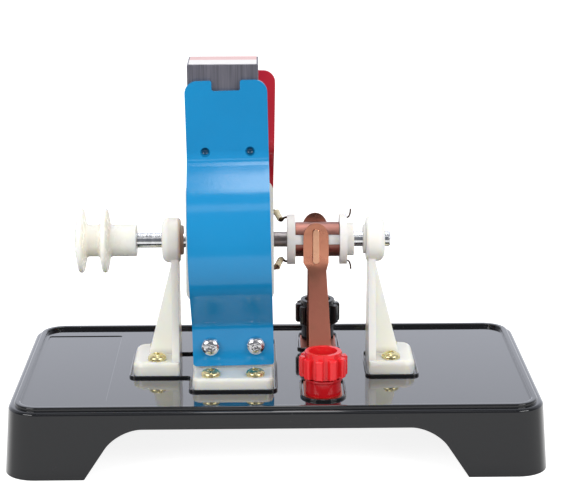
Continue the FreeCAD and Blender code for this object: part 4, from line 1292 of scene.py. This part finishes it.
def makeSleeve():
    shape = sleeveShape
    half, edge = shape["length"] / 2, shape["edge"]
    inner, outer = shape["radius"] - shape["wall"], shape["radius"]
    tube = turnPiece("sleeve", [
        (-half, inner), (-half, outer - edge), (-half + edge, outer), (half - shape["flareLength"], outer),
        (half, outer + shape["flare"]), (half, inner + shape["flare"]),
    ], "z", (0, 0, 0), 24)
    smooth(tube)
    high, low = (Vector(point) for point in wireLine(leadShape)[1:3])
    onlyThis(tube)
    tube.rotation_euler = (high - low).to_track_quat("Z", "Y").to_euler()
    tube.location = (high + low) / 2 * mm
    applyPlace()
    return tube


for name, turn in (("upper", 0), ("lower", 180)):
    lead = bentRod(name + "_lead_wire", wireLine(leadShape), leadShape["radius"])
    sleeve = makeSleeve()
    sleeve.name = name + "_sleeve_tube"
    tail = bentRod(name + "_wire_end", wireLine(tailShape), tailShape["radius"])
    for piece, finish, slot, node in ((lead, "wire", "coil_copper", "_lead"),
                                      (sleeve, "sleeve", "sleeve_cream", "_lead_sleeve"),
                                      (tail, "wire", "wire_dark", "_segment_wire")):
        turnOnShaft(piece, turn + rotorTurn)
        dress(piece, finish, "rotor", slot, name + node)
print("leads made")


# ---- shaft and pulley ----

shaftShape = {"left": -78.7, "right": 46.4, "radius": 3.0, "chamfer": 0.6}
pulleyShape = {"leftDisc": -77.2, "rightDisc": -67.7, "radius": 12.9, "hub": 6.4, "hubEnd": -55.1,
               "rimHalf": 1.10, "rootHalf": 2.1, "fillet": 0.9, "edge": 0.3, "bore": 3.0}


def makeShaft():
    shape = shaftShape
    left, right, radius, edge = shape["left"], shape["right"], shape["radius"], shape["chamfer"]
    shaft = turnPiece("shaft_rod", [(left, radius - edge), (left + edge, radius), (right - edge, radius),
                                    (right, radius - edge)], sides=48, capped=True)
    softEdges(shaft, 0.12, 2, 30)
    return shaft


def discStations(middle):
    # one disc: up its left side, round the rim and down its right side
    shape = pulleyShape
    rim, root, radius, hub, fillet = shape["rimHalf"], shape["rootHalf"], shape["radius"], shape["hub"], shape["fillet"]
    left = [(middle - root - fillet, hub), (middle - root - fillet * 0.35, hub + fillet * 0.25),
            (middle - root + 0.1, hub + fillet)]
    right = [(2 * middle - along, around) for along, around in reversed(left)]
    return left + roundCorner(middle, radius - rim, rim, 172, 8, 8) + right


def makePulley():
    shape = pulleyShape
    edge, end = shape["edge"], shape["hubEnd"]
    start = shape["leftDisc"] - shape["rootHalf"]
    left = discStations(shape["leftDisc"])[2:]
    stations = [(start, shape["bore"]), (start, shape["hub"] - edge)] + left + discStations(shape["rightDisc"])
    stations += [(end - edge, shape["hub"]), (end, shape["hub"] - edge), (end, shape["bore"])]
    pulley = turnPiece("pulley_body", stations, sides=96)
    smooth(pulley, 45)
    return pulley


dress(turnOnShaft(makeShaft(), rotorTurn), "shaft", "rotor", "shaft_steel", "shaft")
dress(turnOnShaft(makePulley(), rotorTurn), "pulley", "rotor", "pulley_ivory", "pulley")
print("shaft and pulley made")


# ---- brushes ----

brushShape = {"padX": 16.4, "padHalf": 5.05, "padTops": {"front": 87.5, "rear": 88.4}, "crown": 6.0,
              "bendHeight": 68.0, "neckRise": 3.3, "leafSteps": 12, "nearCorner": 0.8, "farCorner": 6.6,
              "leafLeft": 13.35, "leafRight": 20.55, "flare": 2.3, "thickness": 0.5, "inner": 7.0, "kneeY": 23.0,
              "footNear": 21.6, "footFar": 45.0, "footHalf": 7.4, "soft": 0.12}
brushRib = {"half": 1.45, "length": 7.2, "corner": 1.3, "round": 0.4, "rise": 0.55, "middle": 77.9}


def makeBrush(padTop):
    # front brush: domed pad on the commutator, leaf down to the panel, foot under the terminal
    shape = brushShape
    x, half, front = shape["padX"], shape["padHalf"], shape["inner"] + shape["thickness"]
    shoulder = padTop - shape["crown"]
    deselectAll()
    bpy.ops.mesh.primitive_circle_add(vertices=48, radius=half * mm, fill_type="NGON",
                                      location=(x * mm, -front * mm, shoulder * mm), rotation=(math.pi / 2, 0, 0))
    brush = takeNew("brush")
    pickAll(brush)
    widen(1, 1, shape["crown"] / half, (x, -front, shoulder))
    bpy.ops.mesh.bisect(plane_co=(0, 0, shoulder * mm), plane_no=(0, 0, 1), clear_inner=True)
    pickEdges(brush, lambda start, end: max(start.z, end.z) < shoulder + touch)
    neckTop = shape["bendHeight"] + shape["neckRise"]
    pushOut(z=neckTop - shoulder)
    leafMiddle = (shape["leafLeft"] + shape["leafRight"]) / 2
    leafHalf = (shape["leafRight"] - shape["leafLeft"]) / 2
    pushOut(x=leafMiddle - x, z=-shape["neckRise"])
    widen(leafHalf / half, 1, 1, (leafMiddle, -front, shape["bendHeight"]))
    low = panelHeight + shape["thickness"]
    steps = shape["leafSteps"]                 # the leaf runs straight out and widens to the right
    drop = (shape["bendHeight"] - low) / steps
    out = (shape["kneeY"] - front) / steps
    reached = leafHalf
    for step in range(1, steps + 1):
        wider = leafHalf + shape["flare"] / 2 * step / steps
        pushOut(x=shape["flare"] / 2 / steps, y=-out, z=-drop)
        middle = leafMiddle + shape["flare"] / 2 * step / steps
        widen(wider / reached, 1, 1, (middle, 0, 0))
        reached = wider
    toObjectMode()
    useModifier(brush, "SOLIDIFY", thickness=shape["thickness"] * mm, offset=-1, use_even_offset=True)

    near, far = shape["footNear"], shape["footFar"]
    foot = plainOutline("brushFoot", postPlaces[0][0], -(near + far) / 2, shape["footHalf"], (far - near) / 2,
                        shape["nearCorner"], shape["farCorner"])
    pickAll(foot)
    bpy.ops.transform.translate(value=(0, 0, ribShape["sink"] * mm))
    pushOut(z=shape["thickness"])
    closeUp(foot)

    rib = roundedSlab("rib", (0, 0), (brushRib["half"], brushRib["length"]), brushRib["corner"],
                      -0.2, brushRib["rise"])
    pickTopEdges(rib, brushRib["rise"])
    roundOff(brushRib["round"], 3)
    weldOn(brush, placeCopy(rib, "turnedRib", (x, -front, brushRib["middle"]), (90, 0, 0)))
    weldOn(brush, foot)
    discard(rib)
    return brush


for side, sign in (("front", 1), ("rear", -1)):
    plainBrush = makeBrush(brushShape["padTops"][side])
    brush = mirrorCopy(plainBrush, side + "_brush_strip", y=sign)
    discard(plainBrush)
    softEdges(brush, brushShape["soft"], 2, 40)
    dress(brush, "brush", "base", "brush_copper", side + "_brush")
print("brushes made")


# ---- binding posts ----

postShape = {"collar": 6.9, "collarTop": 33.6, "lip": 0.5, "lipHeight": 1.1, "stud": 3.0, "collarLow": 26.8}
knobShape = {"radius": 7.1, "bottom": 33.9, "top": 44.0, "cup": 5.4, "cupFloor": 39.0, "insert": 4.65,
             "ribRadius": 9.4, "ribWidth": 2.9, "ribBottom": 34.3, "ribTop": 42.1, "ribCount": 10,
             "ribTurn": -101.8, "ribRound": 0.75, "ribSink": 1.2, "soft": 0.3}


def makeCollar():
    shape = postShape
    low, top, radius = shape["collarLow"], shape["collarTop"], shape["collar"]
    collar = turnPiece("collar", [
        (low, shape["stud"]), (low, radius), (top - shape["lipHeight"], radius),
        (top - shape["lipHeight"], radius + shape["lip"]), (top, radius + shape["lip"]), (top, shape["stud"]),
    ], "z", (0, 0, 0), 64)
    softEdges(collar, 0.3, 3)
    return collar


def makeKnob():
    shape = knobShape
    knob = turnPiece("knob", [
        (shape["bottom"], shape["insert"]), (shape["bottom"], shape["radius"]), (shape["top"], shape["radius"]),
        (shape["top"], shape["cup"]), (shape["cupFloor"], shape["cup"]), (shape["cupFloor"], shape["insert"]),
    ], "z", (0, 0, 0), 80)
    half = shape["ribWidth"] / 2
    rib = addBlock("rib", (shape["radius"] - shape["ribSink"], -half, shape["ribBottom"]),
                   (shape["ribRadius"], half, shape["ribTop"]))
    pickEdges(rib, lambda start, end: min(start.x, end.x) > shape["radius"])
    roundOff(shape["ribRound"], 4)
    toObjectMode()
    ribs = []
    for number in range(shape["ribCount"]):
        turn = shape["ribTurn"] + 360 * number / shape["ribCount"]
        ribs.append(placeCopy(rib, "knobRib", turn=(0, 0, turn)))
    discard(rib)
    weldOn(knob, joinTo(ribs[0], ribs[1:]))
    softEdges(knob, shape["soft"], 3, 60)
    return knob


plainCollar = makeCollar()
plainKnob = makeKnob()
for colour, (x, y) in zip(("red", "black"), postPlaces):
    collar = placeCopy(plainCollar, colour + "_collar_ring", (x, y, 0))
    dress(collar, colour + "Collar", "base", "post_" + colour, colour + "_post_collar")
    knob = placeCopy(plainKnob, colour + "_knob_cap", (x, y, 0))
    dress(knob, colour + "Knob", colour + "_turn", "post_" + colour, colour + "_knob")
    redress(colour + "_post_stud", "brass")
    redress(colour + "_knob_insert", "brass")
discard(plainCollar, plainKnob)
redress("post_nuts", "zinc")
redress("post_washers", "zinc")
redress("armature_core", "core")
print("binding posts made")


# ---- floor, lamps and camera ----

stageShape = {"floorSize": 9.0, "floorWhite": 0.50, "floorGlow": 0.86, "mirrorGlow": 0.30, "roomGlow": 0.80,
              "mirrorFront": 0.20, "mirrorTint": (0.87, 0.90, 1.0),
              "litUntil": -0.33, "darkFrom": -0.45, "darkPart": 0.85}
lamps = {   # where each soft box stands, what it points at, its size and its power
    "overheadBox": {"at": (0.0, 0.21, 0.95), "to": (0.0, 0.21, 0.0), "size": (0.13, 1.10), "power": 2.15},
    "leftBox": {"at": (-0.75, -0.75, 0.58), "to": (0.0, 0.0, 0.07), "size": (0.62, 0.36), "power": 4.6},
    "rightBox": {"at": (0.75, -0.75, 0.58), "to": (0.0, 0.0, 0.07), "size": (0.62, 0.36), "power": 4.6},
    "frontStrip": {"at": (0.0, -0.70, 0.91), "to": (0.0, 0.0, 0.08), "size": (0.50, 0.17), "power": 0.34},
}
cameraSetup = {"at": (-0.0042, -0.7102, 0.2553), "turn": 0.660, "down": 14.011, "roll": -0.241,
               "pixelFocus": 1826.2, "pixelWidth": 569, "sensor": 36.0}


def makeFloor():
    # pale paper, near white to the camera; in mirrors its front part turns dark
    stage = stageShape
    deselectAll()
    bpy.ops.mesh.primitive_plane_add(size=stage["floorSize"], location=(0, 0, -0.0001))
    floor = takeNew("floor")
    finish, tree, shader, place = startFinish("floorPaper", (stage["floorWhite"],) * 3, 0.9)
    shader.inputs["Specular IOR Level"].default_value = 0.0
    path, mirrored = rayKinds(tree)
    dark = spread(tree, partOf(tree, place, "Y"), stage["darkFrom"], stage["litUntil"], stage["darkPart"], 0)
    kept = sums(tree, "SUBTRACT", 1.0, sums(tree, "MULTIPLY", mirrored, dark))
    white = (stage["floorWhite"],) * 3
    feed(tree, shader, "Base Color", twoColours(tree, kept, (0.0, 0.0, 0.0), white))
    seen = sums(tree, "MULTIPLY", path.outputs["Is Camera Ray"], stage["floorGlow"])
    reflected = sums(tree, "MULTIPLY", sums(tree, "MULTIPLY", mirrored, stage["mirrorGlow"]), kept)
    shader.inputs["Emission Color"].default_value = (1, 1, 1, 1)
    feed(tree, shader, "Emission Strength", sums(tree, "ADD", seen, reflected))
    floor.data.materials.append(finish)


def makeWorld():
    # white to the camera; mirrors see it white behind the object and dim in front
    world = bpy.data.worlds.new("studio")
    bpy.context.scene.world = world
    world.use_nodes = True
    tree = world.node_tree
    background = tree.nodes["Background"]
    path, mirrored = rayKinds(tree)
    direction = tree.nodes.new("ShaderNodeTexCoord").outputs["Generated"]
    back = spread(tree, partOf(tree, direction, "Y"), -0.1, 0.3, 0, 1)
    shown = spread(tree, back, 0, 1, stageShape["mirrorFront"], 1.0)
    soft = sums(tree, "MULTIPLY", sums(tree, "SUBTRACT", 1.0, mirrored), stageShape["roomGlow"])
    glow = sums(tree, "ADD", sums(tree, "MULTIPLY", mirrored, shown), soft)
    tree.links.new(sums(tree, "MAXIMUM", glow, path.outputs["Is Camera Ray"]), background.inputs["Strength"])
    tree.links.new(twoColours(tree, mirrored, (1.0, 1.0, 1.0), stageShape["mirrorTint"]), background.inputs["Color"])


def makeLamps():
    for name, lamp in lamps.items():
        deselectAll()
        bpy.ops.object.light_add(type="AREA", location=lamp["at"])
        box = bpy.context.active_object
        box.name = name
        box.data.shape = "RECTANGLE"
        box.data.size, box.data.size_y = lamp["size"]
        box.data.energy = lamp["power"]
        box.rotation_euler = (Vector(lamp["to"]) - Vector(lamp["at"])).to_track_quat("-Z", "Y").to_euler()


def makeCamera():
    setup = cameraSetup
    deselectAll()
    bpy.ops.object.camera_add()
    camera = bpy.context.active_object
    camera.data.sensor_width = setup["sensor"]
    camera.data.lens = setup["pixelFocus"] * setup["sensor"] / setup["pixelWidth"]
    turn = Matrix.Rotation(math.radians(-setup["turn"]), 4, "Z")
    lean = Matrix.Rotation(math.radians(90 - setup["down"]), 4, "X")
    roll = Matrix.Rotation(math.radians(setup["roll"]), 4, "Z")
    camera.matrix_world = Matrix.Translation(setup["at"]) @ turn @ lean @ roll
    bpy.context.scene.camera = camera


makeFloor()
makeWorld()
makeLamps()
makeCamera()
bpy.context.scene.view_settings.view_transform = "Standard"
print("stage ready")
